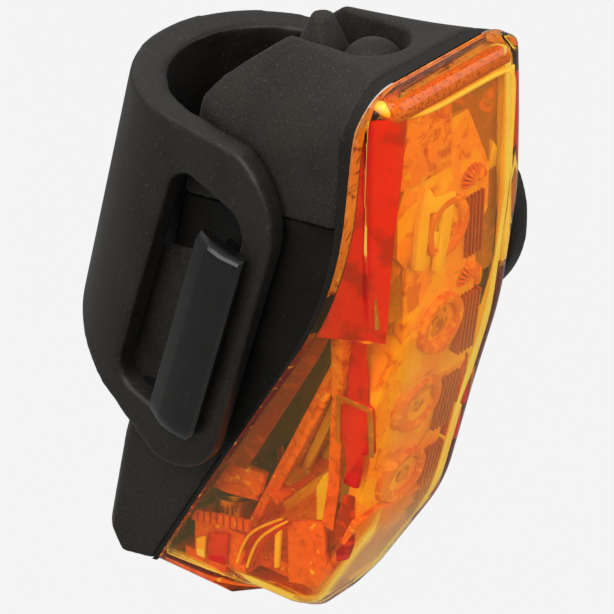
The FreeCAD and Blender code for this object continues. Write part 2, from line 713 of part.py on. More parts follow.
def make_shells():
    """Make lens, seal, boots and hard housing from the one outer form."""
    fit = size("fit")
    outside = form(0).cut(wing_gaps())
    lens = outside.cut(form(size("lens_wall"))).common(ahead_of_parting(0, 0))
    feature("lens", lens)

    rubber = size("roof_rubber")
    inside = cavity()
    seal_side = ahead_of_parting(size("seal_top"), size("seal_low"))
    feature("lens_seal", outside.cut(inside).common(seal_side).cut(ahead_of_parting(fit, fit)))

    behind = outside.cut(ahead_of_parting(size("seal_top") + fit, size("seal_low") + fit))
    skin = behind.cut(form(size("skin")).cut(recess(rubber)))
    boot = skin.common(above_boot_seam(fit)).cut(recess()).cut(stem_holes())
    feature("top_boot", largest(boot))
    heel = skin.common(below_heel_seam(fit)).cut(cover_window())
    feature("lower_boot", largest(heel))

    band = behind.cut(above_boot_seam(0)).cut(below_heel_seam(0))
    core = form(size("skin") + fit).cut(recess(rubber + fit)).common(behind).fuse(band)
    core = core.cut(pad_space()).fuse(hook_flats().common(behind)).cut(inside)
    core = core.cut(stem_holes()).cut(port_window()).cut(cover_window())
    for side, start in hook_screw_places():
        hole = Part.makeCylinder(size("screw_radius") + fit, NEAR, start, vector(side, 0, 0))
        head = size("screw_head") + size("clearance")
        pocket = Part.makeCylinder(head, size("screw_grip"), start, vector(-side, 0, 0))
        core = core.cut(hole).cut(pocket)
    for addition in (carrier_posts(), board_ribs(), charge_ledge()):
        core = core.fuse(addition.common(form(size("skin") + fit)))
    feature("rear_housing", largest(core.removeSplitter()))


def largest(shape):
    """Keep the main solid of a shape."""
    return max(shape.Solids, key=lambda solid: solid.Volume)


def cavity():
    """Fill the space inside the housing, clear of the recess and of the wall behind the pad."""
    inside = form(shell_depth(), -shell_depth())
    inside = inside.cut(recess(size("roof_rubber") + size("roof_plate")))
    reach = size("pad_half_height") + size("housing_wall")
    return inside.cut(post_block((-FAR, pad_wall(), -reach), (FAR, FAR, reach)))


def pad_space():
    """Fill the space that the saddle pad takes, with its fit."""
    radius = size("saddle_radius") + size("pad_thickness") + size("fit")
    half_width = size("pad_half_width") + size("fit")
    half_height = size("pad_half_height") + size("fit")
    limits = post_block((-half_width, -FAR, -half_height), (half_width, FAR, half_height))
    return post_cylinder(radius, half_height).common(limits)


def hook_flats():
    """Make the two flat lands that the hooks stand on."""
    rim = size("seat_rim")
    height = size("stem_half_height") + rim
    front = -size("stem_front") - rim
    back = -size("stem_back") + rim
    inner, seat = hook_inner_wall(), size("hook_seat")
    left = post_block((-seat, front, -height), (-inner, back, height))
    return left.fuse(post_block((inner, front, -height), (seat, back, height)))


def carrier_posts():
    """Make the two posts that the carrier is screwed to, from the housing's side walls."""
    gap = size("carrier_thickness") + size("fit")
    length = size("carrier_boss_length")
    half = size("carrier_boss") / 2
    level = size("carrier_screw_level")
    middle = size("carrier_screw_half")
    inner = middle - half
    pair = block((-NEAR, gap, level - half), (-inner, gap + length, level + half))
    pair = pair.fuse(block((inner, gap, level - half), (NEAR, gap + length, level + half)))
    for across in (-middle, middle):
        radius = size("screw_radius") + size("fit")
        pair = pair.cut(Part.makeCylinder(radius, length, vector(across, gap, level), ALONG_Y))
    pair.rotate(vector(0, 0, 0), ALONG_X, size("board_lean"))
    pair.translate(vector(0, -size("board_reach"), 0))
    return pair


def board_ribs():
    """Make the ribs on the side walls that the button board lies on."""
    top = size("button_board_level") - size("board_thickness") - size("fit")
    inner, front = size("rib_inner"), -size("rib_reach") - size("rib_length")
    ribs = [
        block((low, front, top - size("rib_height")), (high, -size("rib_reach"), top))
        for low, high in ((-NEAR, -inner), (inner, NEAR))
    ]
    return ribs[0].fuse(ribs[1])


def charge_ledge():
    """Make the ledge on the back wall that the charging board lies on."""
    top = charge_board_top() - size("board_thickness") - size("fit")
    half, depth = size("ledge_half"), size("ledge_depth")
    wall = -shell_depth() + size("clearance")
    return post_block((-half, -depth, top - size("rib_height")), (half, wall, top))


def port_window():
    """Fill the window in the hard housing behind the charging port."""
    gap = size("clearance")
    half = size("port_half") + gap
    tall = size("port_tall") / 2 + gap
    height = size("port_height")
    return post_block((-half, -size("port_depth"), height - tall), (half, FAR, height + tall))


def cover_window():
    """Fill the window that the port cover closes, with its hinge groove."""
    gap = size("clearance")
    half = size("cover_half") + gap
    top = size("cover_hinge") + size("cover_bead") + 2 * gap
    window = post_block((-half, cover_back() - gap, size("cover_low") - gap), (half, FAR, top))
    groove = Part.makeCylinder(size("cover_bead") + gap, 2 * half, hinge_point(-half), ALONG_X)
    return window.fuse(groove)


def cover_back():
    """Give the rise of the port cover's inner face."""
    return size("cover_face") - size("cover_thickness")


def hinge_point(across):
    """Give a point on the port cover's hinge axis."""
    return on_post(across, cover_back() + size("cover_bead"), size("cover_hinge"))


def make_pad():
    """Make the rubber pad in the saddle's hollow."""
    half = size("pad_half_width")
    height = size("pad_half_height")
    ring = post_cylinder(size("saddle_radius") + size("pad_thickness"), height)
    ring = ring.cut(post_cylinder(size("saddle_radius"), FAR))
    limits = post_block((-half, -FAR, -height), (half, size("saddle_radius") / 2, height))
    feature("saddle_pad", ring.common(limits))


# Strap and hooks

def ring_plan(height, half, back):
    """Outline the strap's ring and ends at one height up the post."""
    end = -size("strap_end")
    centre = size("strap_centre")
    wide, narrow = size("strap_end_outer"), size("strap_end_inner")
    inner = half - size("strap_side_thickness")
    inner_back = back - size("strap_thickness")
    plan = [
        (wide, end), (half, centre), (0, back), (-half, centre), (-wide, end),
        (-narrow, end), (-inner, centre), (0, inner_back), (inner, centre), (narrow, end),
    ]
    return closed_wire([vector(x, v, height) for x, v in plan], arcs=(2, 7))


def make_strap():
    """Make the strap's ring, its ends, the two windows and the pull tab."""
    low = ring_plan(size("strap_side_low"), size("strap_half_low"), size("strap_back_foot"))
    top = ring_plan(size("strap_side_top"), size("strap_half"), size("strap_back"))
    band = Part.makeLoft([low, top], True, True)
    band.rotate(vector(0, 0, 0), ALONG_X, size("post_tilt"))
    front, back = -size("strap_end"), size("strap_back")
    crest, hip = -size("strap_crest"), -size("strap_hip")
    side_top, side_low = size("strap_side_top"), size("strap_side_low")
    end_top, end_low = size("strap_end_top"), size("strap_end_low")
    edge = [
        (back, size("strap_back_low")), (back, size("strap_back_top")), (crest, side_top),
        (front + tuck(crest - front), side_top - tuck(side_top - end_top)), (front, end_top),
        (front, end_low), (front + tuck(hip - front), side_low + tuck(end_low - side_low)),
        (hip, side_low),
    ]
    band = band.common(side_prism(edge, arcs=(3, 6))).cut(window_prism()).fuse(pull_tab())
    feature("strap", band.removeSplitter())


def window_prism():
    """Fill the strap's windows, with rounded corners."""
    front, back = -size("window_front"), size("window_back")
    low, top = size("window_low"), size("window_top")
    corner = size("window_corner")
    bend = tuck(corner)
    points = [
        (front + corner, low), (back - corner, low), (back - bend, low + bend),
        (back, low + corner), (back, top - corner), (back - bend, top - bend),
        (back - corner, top), (front + corner, top), (front + bend, top - bend),
        (front, top - corner), (front, low + corner), (front + bend, low + bend),
    ]
    return side_prism(points, arcs=(2, 5, 8, 11))


def pull_tab():
    """Make the rounded finger tab on the right end of the strap."""
    start = -size("strap_end")
    tip = -size("tab_reach")
    root = size("tab_root")
    inner, outer = size("tab_inner"), size("tab_outer")
    plan = [
        (size("strap_end_inner"), start + 1), (inner, start - root), (inner, tip), (outer, tip),
        (outer, start - root), (size("strap_end_outer"), start + 1),
    ]
    low, top = size("tab_low"), size("tab_top")
    side = [
        (start + 1, low - root), (start + 1, top), (tip + size("tab_round"), top),
        (tip, (top + low) / 2), (tip + size("tab_round"), low),
    ]
    tab = prism([vector(x, v, -FAR) for x, v in plan], vector(0, 0, 2 * FAR))
    tab.rotate(vector(0, 0, 0), ALONG_X, size("post_tilt"))
    return tab.common(side_prism(side, arcs=(3,)))


def make_hooks():
    """Make a bar on a stem for each side, with two screw holes from the inside."""
    for side, name in ((-1, "left"), (1, "right")):
        hook = new_body(f"{name}_strap_hook")
        bar = rectangle(f"{side} * hook_inner", "-hook_front",
                        f"{side} * (hook_inner + hook_thickness)", "-hook_back")
        pad(hook, "XY_Plane", bar, "2 * hook_half_height", symmetric=True)
        stem = rectangle(f"{side} * (hook_seat + fit)", "-stem_front",
                         f"{side} * (hook_inner + hook_thickness / 2)", "-stem_back")
        pad(hook, "XY_Plane", stem, "2 * stem_half_height", symmetric=True)
        sketch = new_sketch(hook, "YZ_Plane")
        for sign in (-1, 1):
            centre = ("-(stem_front + stem_back) / 2", f"{sign} * hook_screw_height")
            circle(sketch, centre, "screw_radius + fit")
        bore = hook.newObject("PartDesign::Pocket", "Bores")
        bore.Profile = sketch
        bore.Reversed = side > 0
        bore.setExpression("Length", bound("hook_inner"))
        place(hook, lean="post_tilt")


def make_hook_screws():
    """Make the four screws that hold the hooks, driven from inside the housing."""
    screws = []
    for side, spot in hook_screw_places():
        length = "skin + housing_wall + flat_wall + screw_grip"
        item = screw(f"hook_screw_{len(screws) + 1}", length)
        item.Placement = FreeCAD.Placement(spot, FreeCAD.Rotation(vector(0, 1, 0), 90 * side))
        screws.append(item)
    group("hook_screws", screws)


def screw(label, length):
    """Turn a screw whose head lies below its own zero."""
    return turned(label, [
        ("0", "-head_height"), ("screw_head", "-head_height"), ("screw_head", "-fit"),
        ("screw_radius", "-fit"), ("screw_radius", length), ("0", length),
    ])


# Buttons and switches

def make_buttons():
    """Make both buttons, their plungers and switches."""
    lift = size("floor_level") + size("button_travel") + size("clearance")
    plunger_top = size("button_board_level") + size("switch_height") + size("plunger_reach")
    stem_length = lift - plunger_top - size("fit")
    for name, reach in button_places():
        if name == "front":
            radius, dome = size("button_radius"), size("dome_height")
            tall = size("button_skirt") + dome
            ball = (radius ** 2 + dome ** 2) / (2 * dome)
            cap = Part.makeCylinder(radius, tall, vector(0, reach, lift))
            cap = cap.common(Part.makeSphere(ball, vector(0, reach, lift + tall - ball)))
        else:
            cap = Part.makeCone(size("hump_radius"), size("hump_tip"), size("hump_height"),
                                vector(0, reach, lift))
        stem_foot = vector(0, reach, lift - stem_length)
        stem = Part.makeCylinder(size("stem_radius"), stem_length + size("hump_tip"), stem_foot)
        feature(f"{name}_button", cap.fuse(stem).removeSplitter())
        make_switch(name)


def make_switch(name):
    """Make one push switch: a square case with a bore, and the plunger in it."""
    ahead = f"-({' + '.join(BUTTON_REACH[name])})"
    case = new_body(f"{name}_switch")
    half = "switch_width / 2"
    pad(case, "XY_Plane", rectangle(f"-{half}", f"-{half}", half, half), "switch_height")
    pierce(case, "XY_Plane", [(("0", "0"), "plunger_radius + clearance")])
    place(case, ("0", ahead, "button_board_level + fit"))
    plunger = turned(f"{name}_plunger", [
        ("0", "button_travel + clearance"), ("plunger_radius", "button_travel + clearance"),
        ("plunger_radius", "switch_height + plunger_reach"),
        ("0", "switch_height + plunger_reach"),
    ])
    place(plunger, ("0", ahead, "button_board_level"))


def make_button_board():
    """Make the board that carries the switches."""
    board = new_body("button_board")
    corners = rectangle("-button_board_half", "-button_board_front",
                        "button_board_half", "-button_board_back")
    pad(board, "XY_Plane", corners, "board_thickness")
    place(board, ("0", "0", "button_board_level - board_thickness"))


# Light board, carrier and optics

def board_place(item, across="0", ahead="0", up="0"):
    """Set a piece in the leaning frame of the light board's back face."""
    along = f"-board_reach - ({ahead}) * cos(board_lean) - ({up}) * sin(board_lean)"
    upward = f"({up}) * cos(board_lean) - ({ahead}) * sin(board_lean)"
    return place(item, (across, along, upward), lean="board_lean")


def make_carrier():
    """Make the plate behind the light board, with screw holes and a slot for the ribbon."""
    carrier = new_body("optic_carrier")
    between = "recess_half + roof_rubber + roof_plate + clearance"
    half = [
        ("carrier_foot_half", "carrier_low"), ("carrier_foot_half", "carrier_low + carrier_foot_rise"),
        ("board_half", "board_low + board_full_rise"), ("carrier_half", "round_low"),
        ("carrier_half", "carrier_top - carrier_slope"),
        ("carrier_half - carrier_slope_width", "carrier_top"),
        (between, "carrier_top"), (between, "carrier_middle"),
    ]
    pad(carrier, "XZ_Plane", mirrored(half), "carrier_thickness", backwards=True)
    holes = [((f"{side} * carrier_screw_half", "carrier_screw_level"), "screw_radius + fit")
             for side in (-1, 1)]
    pierce(carrier, "XZ_Plane", holes)
    slot_half = "ribbon_half + clearance"
    slot_tall = "(ribbon_thickness + clearance)"
    slot = rectangle(f"-({slot_half})", f"ribbon_level - {slot_tall}",
                     slot_half, f"ribbon_level + {slot_tall}")
    cut_window(carrier, "XZ_Plane", slot)
    board_place(carrier)


def make_carrier_screws():
    """Make the two screws that hold the carrier to the housing's posts."""
    screws = []
    lean = FreeCAD.Rotation(ALONG_X, size("board_lean"))
    for side in (-1, 1):
        item = screw(f"carrier_screw_{len(screws) + 1}", "carrier_thickness + screw_grip")
        spot = lean.multVec(vector(side * size("carrier_screw_half"), 0, size("carrier_screw_level")))
        spot -= vector(0, size("board_reach"), 0)
        item.Placement = FreeCAD.Placement(spot, lean.multiply(FreeCAD.Rotation(ALONG_X, -90)))
        screws.append(item)
    group("carrier_screws", screws)


def make_light_board():
    """Make the light board, its four lamps and its chips."""
    board = new_body("led_board")
    half = [
        ("carrier_foot_half - clearance", "board_low"),
        ("carrier_foot_half - clearance", "board_low + board_foot_rise"),
        ("board_half", "board_low + board_full_rise"), ("optic_waist", "round_low - waist_play"),
        ("optic_waist", "round_low + round_height + waist_play"),
        ("board_half", "round_low + round_height + board_waist_rise"),
        ("board_half", "board_top - board_slope"),
        ("board_tip", "board_top"),
    ]
    pad(board, "XZ_Plane", mirrored(half), "board_thickness")
    board_place(board, ahead="fit")
    lamps = [
        mounted(f"lamp_{index + 1}", "0", f"top_lamp - {index} * lamp_pitch",
                "lamp_width", "lamp_height")
        for index in range(4)
    ]
    group("led_emitters", lamps)
    spots = (("-chip_half", "chip_level"), ("chip_half", "chip_level"), ("0", "low_chip_level"))
    chips = [
        mounted(f"chip_{index + 1}", across, level, "chip_width", "chip_height")
        for index, (across, level) in enumerate(spots)
    ]
    group("board_chips", chips)


def mounted(label, across, level, width, height):
    """Make a small block on the light board's front."""
    item = new_body(label)
    corners = rectangle(f"{across} - {width} / 2", f"{level} - {height} / 2",
                        f"{across} + {width} / 2", f"{level} + {height} / 2")
    pad(item, "XZ_Plane", corners, "lamp_depth")
    return board_place(item, ahead="board_thickness + 2 * fit")


def front_inside(level, inset):
    """Give the Y of the form's front face at a level, moved in by inset."""
    levels = [size(f"{name}_level") for name in STATIONS]
    fronts = [size(f"{name}_front") for name in STATIONS]
    index = max(i for i, station in enumerate(levels[:-1]) if station <= level)
    share = (level - levels[index]) / (levels[index + 1] - levels[index])
    return inset - (fronts[index] + share * (fronts[index + 1] - fronts[index]))


def board_front_at(level):
    """Give the Y just in front of the light board at a level."""
    lean = math.radians(size("board_lean"))
    ahead = size("board_thickness") + 3 * size("fit")
    return -size("board_reach") - ahead / math.cos(lean) - level * math.tan(lean)


def make_optic():
    """Make the clear plate that follows the front, on two side walls that stand on the board."""
    near = size("lens_wall") + size("optic_gap")
    far = near + size("optic_wall")
    top, low = size("optic_top"), size("optic_low")
    bends = [size(f"{name}_level") for name in reversed(STATIONS)]
    levels = [top] + [level for level in bends if low < level < top] + [low]
    outer = [vector(-FAR, front_inside(level, near), level) for level in levels]
    inner = [vector(-FAR, front_inside(level, far), level) for level in levels]
    seat = [vector(-FAR, board_front_at(level), level) for level in (low, top)]
    behind = [point + vector(0, size("optic_wall"), 0) for point in seat]
    half = size("optic_half")
    travel = vector(2 * FAR, 0, 0)
    plate = prism(outer + seat, travel).common(optic_outline(0))
    hollow = prism(inner + behind, travel).common(optic_outline(size("optic_wall")))
    plate = plate.cut(hollow)
    for index in range(4):
        level = size("top_lamp") - index * size("lamp_pitch")
        start = vector(0, front_inside(level, far - size("optic_wall") / 2), level)
        plate = plate.cut(Part.makeCylinder(size("ring_width") / 2, NEAR, start, ALONG_Y))
    feature("optic_plate", plate)


def optic_outline(inset):
    """Fill the arched outline of the optic plate, seen from the front."""
    low, top = size("board_low"), size("optic_top")
    half = size("optic_half") - inset
    waist = size("optic_waist") - inset
    foot = half - (size("board_half") - size("carrier_foot_half"))
    round_top = size("round_low") + size("round_height")
    points = [
        (foot, low - NEAR), (foot, low + size("board_foot_rise")),
        (half, low + size("board_full_rise")),
        (waist, size("round_low") - size("waist_play")), (waist, round_top + size("waist_play")),
        (half, round_top + size("board_waist_rise")), (half, top - size("optic_slope")),
        (half / 2, top), (half / 2, top + NEAR),
    ]
    outline_points = [vector(x, -NEAR, z) for x, z in points]
    outline_points += [vector(-x, -NEAR, z) for x, z in reversed(points)]
    return prism(outline_points, vector(0, NEAR, 0))


def make_side_optics():
    """Make the clear round optics and the red strips beside the optic plate."""
    for side, name in ((-1, "left"), (1, "right")):
        clear = turned(f"{name}_round_optic", [
            ("0", "0"), ("round_radius", "0"), ("round_radius", "round_height - round_bevel"),
            ("round_radius - round_bevel", "round_height"), ("0", "round_height"),
        ])
        board_place(clear, f"{side} * round_half", "round_radius + fit", "round_low")
        guide = new_body(f"{name}_light_guide")
        corners = [
            (f"{side} * guide_inner", "guide_low"), (f"{side} * guide_inner", "guide_top"),
            (f"{side} * guide_outer", "guide_top - guide_slope"),
            (f"{side} * guide_outer", "guide_low"),
        ]
        pad(guide, "XZ_Plane", corners, "guide_depth")
        board_place(guide, ahead="fit")


# Lasers, tray and shield

def floor_inside():
    """Give the level of the lens's inner floor."""
    return size("foot_level") + size("lens_wall") + size("fit")


def make_tray():
    """Make the block for the lasers, with its floor and the arm that holds the carrier."""
    level = size("tray_level")
    half, floor_half = size("tray_half"), size("tray_floor_half")
    cup = block((-half, -size("tray_front"), level), (half, size("tray_back"), size("tray_top")))
    plate = block((-floor_half, -size("tray_floor_front"), floor_inside()),
                  (floor_half, size("tray_floor_back"), level))
    lean = math.radians(size("board_lean"))
    top = size("carrier_low") * math.cos(lean) - size("clearance")
    head = -size("board_reach") - size("carrier_low") * math.sin(lean)
    wall = size("arm_thickness")
    knee, root = -size("arm_knee"), -size("tray_front") + wall
    profile = [
        (root, level), (knee, level), (head, top), (head + wall, top), (knee + wall, level + wall),
        (root, level + wall),
    ]
    arm_half = size("arm_half")
    arm = prism([vector(-arm_half, y, z) for y, z in profile], vector(2 * arm_half, 0, 0))
    tray = cup.fuse(plate).fuse(arm)
    for side in (-1, 1):
        foot = vector(side * size("laser_half"), -size("laser_reach"), level)
        tray = tray.cut(Part.makeCylinder(size("barrel_radius") + size("fit"), NEAR, foot))
        beam = size("barrel_radius") - size("barrel_wall")
        tray = tray.cut(Part.makeCylinder(beam, NEAR, foot - vector(0, 0, NEAR)))
    feature("laser_tray", tray.removeSplitter())


def make_lasers():
    """Make each laser's barrel, lens and diode."""
    inner = "barrel_radius - barrel_wall"
    shoulder = "barrel_length - diode_length"
    for side, name in ((-1, "left"), (1, "right")):
        at = (f"{side} * laser_half", "-laser_reach", "tray_level + fit")
        barrel = turned(f"{name}_laser_barrel", [
            (inner, "0"), ("barrel_radius", "0"), ("barrel_radius", "barrel_length"),
            ("diode_radius + fit", "barrel_length"), ("diode_radius + fit", shoulder),
            ("beam_radius", shoulder), ("beam_radius", "lens_seat"), (inner, "lens_seat"),
        ])
        place(barrel, at)
        lens = turned(f"{name}_laser_lens", [
            ("0", "lens_seat - laser_lens_height"),
            ("beam_radius", "lens_seat - laser_lens_height + laser_lens_dish"),
            (f"{inner} - fit", "lens_seat - laser_lens_rim"), (f"{inner} - fit", "lens_seat - fit"),
            ("0", "lens_seat - fit"),
        ])
        place(lens, at)
        diode = turned(f"{name}_laser_diode", [
            ("0", f"{shoulder} + fit"), ("diode_radius", f"{shoulder} + fit"),
            ("diode_radius", "barrel_length + clearance"), ("0", "barrel_length + clearance"),
        ])
        place(diode, at)


def make_shield():
    """Make the slanting wall between the lamps and the battery."""
    lean = math.radians(size("board_lean"))
    behind = size("carrier_thickness") + size("fit")
    top = size("shield_top_level")
    thick = size("shield_thickness")
    start = (-size("board_reach") + behind / math.cos(lean) - top * math.tan(lean), top)
    flush = (start[0] + 2 * thick * math.tan(lean), top - 2 * thick)
    foot_level = size("tray_top") + size("fit")
    foot = -size("tray_front") - size("clearance")
    profile = [start, flush, (foot, foot_level), (foot + thick, foot_level)]
    plate = prism([vector(-FAR, y, z) for y, z in profile], vector(2 * FAR, 0, 0))
    half, low_half = size("shield_half"), size("shield_low_half")
    face = [(-low_half, foot_level), (-half, top), (half, top), (low_half, foot_level)]
    limits = prism([vector(x, -FAR, z) for x, z in face], vector(0, 2 * FAR, 0))
    feature("laser_shield", plate.common(limits))


# Battery and charging

def make_battery():
    """Make the battery and the cradle behind it."""
    rear = "-(pad_thickness + housing_wall + skin + cradle_wall + 2 * fit)"
    cell = new_body("battery_cell")
    corners = rectangle("-battery_half", f"{rear} - battery_depth", "battery_half", rear)
    pad(cell, "XY_Plane", corners, "battery_top - battery_low")
    place(cell, ("0", "-battery_low * sin(post_tilt)", "battery_low * cos(post_tilt)"), "post_tilt")
    cradle = new_body("battery_cradle")
    back = f"{rear} + fit"
    lip = f"{back} - cradle_lip"
    over, under = "battery_top + fit", "battery_low - fit"
    profile = [
        (f"{back} + cradle_wall", f"{under} - cradle_wall"),
        (f"{back} + cradle_wall", f"{over} + cradle_wall"), (lip, f"{over} + cradle_wall"),
        (lip, over), (back, over), (back, under), (lip, under), (lip, f"{under} - cradle_wall"),
    ]
    pad(cradle, "YZ_Plane", profile, "2 * (battery_half - cradle_inset)", symmetric=True)
    place(cradle, lean="post_tilt")


def port_mouth():
    """Give the rise of the charging socket's open end."""
    return cover_back() - size("clearance")


def charge_board_top():
    """Give the height of the charging board's upper face along the post."""
    return size("port_height") - size("port_tall") / 2 - size("fit")


def make_port():
    """Make the charging socket, its tongue, its board and the rubber cover."""
    wall, fit = size("port_wall"), size("fit")
    half, tall = size("port_half"), size("port_tall") / 2
    height = size("port_height")
    mouth = port_mouth()
    back = mouth - size("port_depth")
    shell = post_block((-half, back, height - tall), (half, mouth, height + tall))
    bore = post_block((wall - half, back + wall, height - tall + wall),
                      (half - wall, FAR, height + tall - wall))
    feature("charge_socket", shell.cut(bore))
    tongue_half, tongue = size("tongue_half"), size("tongue_thickness") / 2
    tip = back + wall + fit + size("tongue_reach")
    feature("socket_tongue", post_block((-tongue_half, back + wall + fit, height - tongue),
                                        (tongue_half, tip, height + tongue)))
    top = charge_board_top()
    board_half = size("charge_board_half")
    feature("charge_board", post_block((-board_half, back - wall, top - size("board_thickness")),
                                       (board_half, -shell_depth() - size("rear_corner"), top)))
    make_cover(mouth, height)


def make_cover(mouth, height):
    """Make the hinged rubber cover with the plug that closes the socket."""
    gap = size("clearance")
    half = size("cover_half")
    face = size("cover_face")
    plate = post_block((-half, cover_back(), size("cover_low")), (half, face, size("cover_hinge")))
    plug_half = size("port_half") - size("port_wall") - gap
    plug_tall = size("port_tall") / 2 - size("port_wall") - gap
    plug = post_block((-plug_half, mouth - size("plug_length"), height - plug_tall),
                      (plug_half, face, height + plug_tall))
    bead = Part.makeCylinder(size("cover_bead"), 2 * half, hinge_point(-half), ALONG_X)
    feature("port_cover", plate.fuse(plug).fuse(bead).removeSplitter())


# Leads and ribbon

def tube(points, radius):
    """Run a round lead through points, with an arc as large as the runs allow at each bend."""
    edges = []
    here = points[0]
    for before, corner, after in zip(points, points[1:], points[2:]):
        into = (before - corner).normalize()
        out = (after - corner).normalize()
        half_turn = (math.pi - into.getAngle(out)) / 2
        cut = 0.45 * min((corner - before).Length, (after - corner).Length)
        bend = cut / math.tan(half_turn)
        inward = (into + out).normalize()
        depth = bend * (1 / math.cos(half_turn) - 1)
        start, end = corner + into * cut, corner + out * cut
        edges.append(Part.LineSegment(here, start).toShape())
        edges.append(Part.Arc(start, corner + inward * depth, end).toShape())
        here = end
    edges.append(Part.LineSegment(here, points[-1]).toShape())
    ring = Part.Wire(Part.makeCircle(radius, points[0], points[1] - points[0]))
    return Part.Wire(edges).makePipeShell([ring], True, False)


def make_leads():
    """Make the lasers' leads and the battery's leads."""
    radius, fit = size("lead_radius"), size("fit")
    diode_top = size("tray_level") + size("barrel_length") + size("clearance") + 3 * fit
    board_top = charge_board_top() + fit
    laser_leads = []
    battery_leads = []
    for side in (-1, 1):
        start = vector(side * size("laser_half"), -size("laser_reach"), diode_top)
        over = start + vector(0, 0, size("lead_loop"))
        across, rise = side * size("laser_lead_half"), size("laser_lead_rise")
        above, end = (on_post(across, rise, height) for height in (size("cover_hinge"), board_top))
        laser_leads.append(tube([start, over, above, end], radius))
        across = side * size("charge_lead_half")
        rise, cell_rise = size("charge_lead_rise"), size("cell_lead_rise")
        low_end = size("battery_low") - fit
        bend = (board_top + low_end) / 2
        battery_leads.append(tube([
            on_post(across, rise, board_top), on_post(across, rise, bend),
            on_post(across, cell_rise, bend + size("lead_loop")),
            on_post(across, cell_rise, low_end),
        ], radius))
        across = side * size("supply_lead_half")
        start = on_post(across, cell_rise, size("battery_top") + fit)
        knee = on_post(across, cell_rise, size("battery_top") + size("lead_loop"))
        level = size("button_board_level") - size("board_thickness") - fit
        battery_leads.append(tube([start, knee, vector(across, knee.y, level)], radius))
    feature("laser_leads", Part.makeCompound(laser_leads))
    feature("battery_leads", Part.makeCompound(battery_leads))


def make_ribbon():
    """Make the flat ribbon from the button board to the light board."""
    half, thick = size("ribbon_half"), size("ribbon_thickness")
    start = -size("ribbon_reach")
    top = size("button_board_level") - size("board_thickness") - size("fit")
    level = size("ribbon_level")
    centre = (start - size("ribbon_bend"), level + size("ribbon_bend"))
    lean = math.radians(size("board_lean"))
    end = -size("board_reach") - level * math.tan(lean) + size("fit")
    inner = size("ribbon_bend") - thick / 2
    outer = size("ribbon_bend") + thick / 2
    slant = math.sqrt(0.5)
    points = [
        (centre[0] + outer, top), (centre[0] + outer, centre[1]),
        (centre[0] + outer * slant, centre[1] - outer * slant), (centre[0], centre[1] - outer),
        (end, centre[1] - outer), (end, centre[1] - inner), (centre[0], centre[1] - inner),
        (centre[0] + inner * slant, centre[1] - inner * slant), (centre[0] + inner, centre[1]),
        (centre[0] + inner, top),
    ]
    outline_points = [vector(-half, y, z) for y, z in points]
    feature("ribbon_cable", prism(outline_points, vector(2 * half, 0, 0), arcs=(2, 7)))


BODY_TYPES = ("PartDesign::Body", "Part::Feature", "Part::Compound")


def kept_parts():
    """List the document's pieces, without the members of groups."""
    grouped = {member.Name for item in doc.Objects if item.TypeId == "Part::Compound"
               for member in item.Links}
    return [item for item in doc.Objects
            if item.TypeId in BODY_TYPES and item.Name not in grouped]


def check(parts):
    """Stop if anything failed to build."""
    for item in doc.Objects:
        if "Invalid" in item.State or "Error" in item.State:
            raise RuntimeError(f"{item.Label} did not build: {item.State}")
    for item in parts:
        if item.Shape.isNull() or not item.Shape.isValid() or not item.Shape.Solids:
            raise RuntimeError(f"{item.Label} has no valid shape")


def main():
    """Build every piece, check it and write it out."""
    make_shells()
    make_pad()
    make_strap()
    make_hooks()
    make_hook_screws()
    make_buttons()
    make_button_board()
    make_carrier()
    make_carrier_screws()
    make_light_board()
    make_optic()
    make_side_optics()
    make_tray()
    make_lasers()
    make_shield()
    make_battery()
    make_port()
    make_leads()
    make_ribbon()
    doc.recompute()
    parts = kept_parts()
    check(parts)
    os.makedirs("parts", exist_ok=True)
    for item in parts:
        item.Shape.exportStep(f"parts/{item.Label}.step")
        box = item.Shape.BoundBox
        print(f"{item.Label:22s} solids {len(item.Shape.Solids)} volume {item.Shape.Volume:9.1f} "
              f"x {box.XMin:6.1f} {box.XMax:6.1f} y {box.YMin:6.1f} {box.YMax:6.1f} "
              f"z {box.ZMin:6.1f} {box.ZMax:6.1f}")


main()
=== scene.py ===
"""Looks of the bicycle tail light: clear amber lens, rubber boots, hooked strap and lamps.

Sizes are in millimetres in the part's own frame, +Z up and the lens facing -Y.
"""
import logging
import math
from dataclasses import dataclass
from enum import Enum
from functools import cache
from typing import Any, Callable, Iterable, Sequence

import bmesh
import bpy
import numpy as np
from mathutils import Matrix, Vector


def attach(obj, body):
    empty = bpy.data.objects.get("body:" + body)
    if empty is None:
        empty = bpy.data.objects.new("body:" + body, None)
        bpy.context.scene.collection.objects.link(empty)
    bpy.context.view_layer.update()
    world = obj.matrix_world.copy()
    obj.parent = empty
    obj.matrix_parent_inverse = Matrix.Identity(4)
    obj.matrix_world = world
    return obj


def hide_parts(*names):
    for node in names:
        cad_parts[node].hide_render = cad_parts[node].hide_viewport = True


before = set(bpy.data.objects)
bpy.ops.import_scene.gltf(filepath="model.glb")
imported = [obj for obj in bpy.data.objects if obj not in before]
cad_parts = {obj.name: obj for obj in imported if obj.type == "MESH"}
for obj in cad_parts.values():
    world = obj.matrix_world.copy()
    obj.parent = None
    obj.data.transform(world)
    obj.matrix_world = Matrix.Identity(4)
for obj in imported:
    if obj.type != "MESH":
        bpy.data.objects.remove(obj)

MM = 0.001
LOG = logging.getLogger("tail_light")
Point = tuple[float, float, float]
Pair = tuple[float, float]
Face = tuple[int, ...]
SIDES = ((-1, "left"), (1, "right"))
# Bends of the surface, in degrees, past which an edge stays sharp: flat mouldings, round walls
FLAT_CREASE = 40.0
ROUND_CREASE = 50.0
# Rounded edges: the least bend that is rounded, in degrees, and the faces across it
ROUNDED_BEND = 25.0
ROUNDING_FACES = 2
# Faces round a quarter of a bead, and steps between two of its points
BEAD_QUARTER = 4
BEAD_STEPS = 8
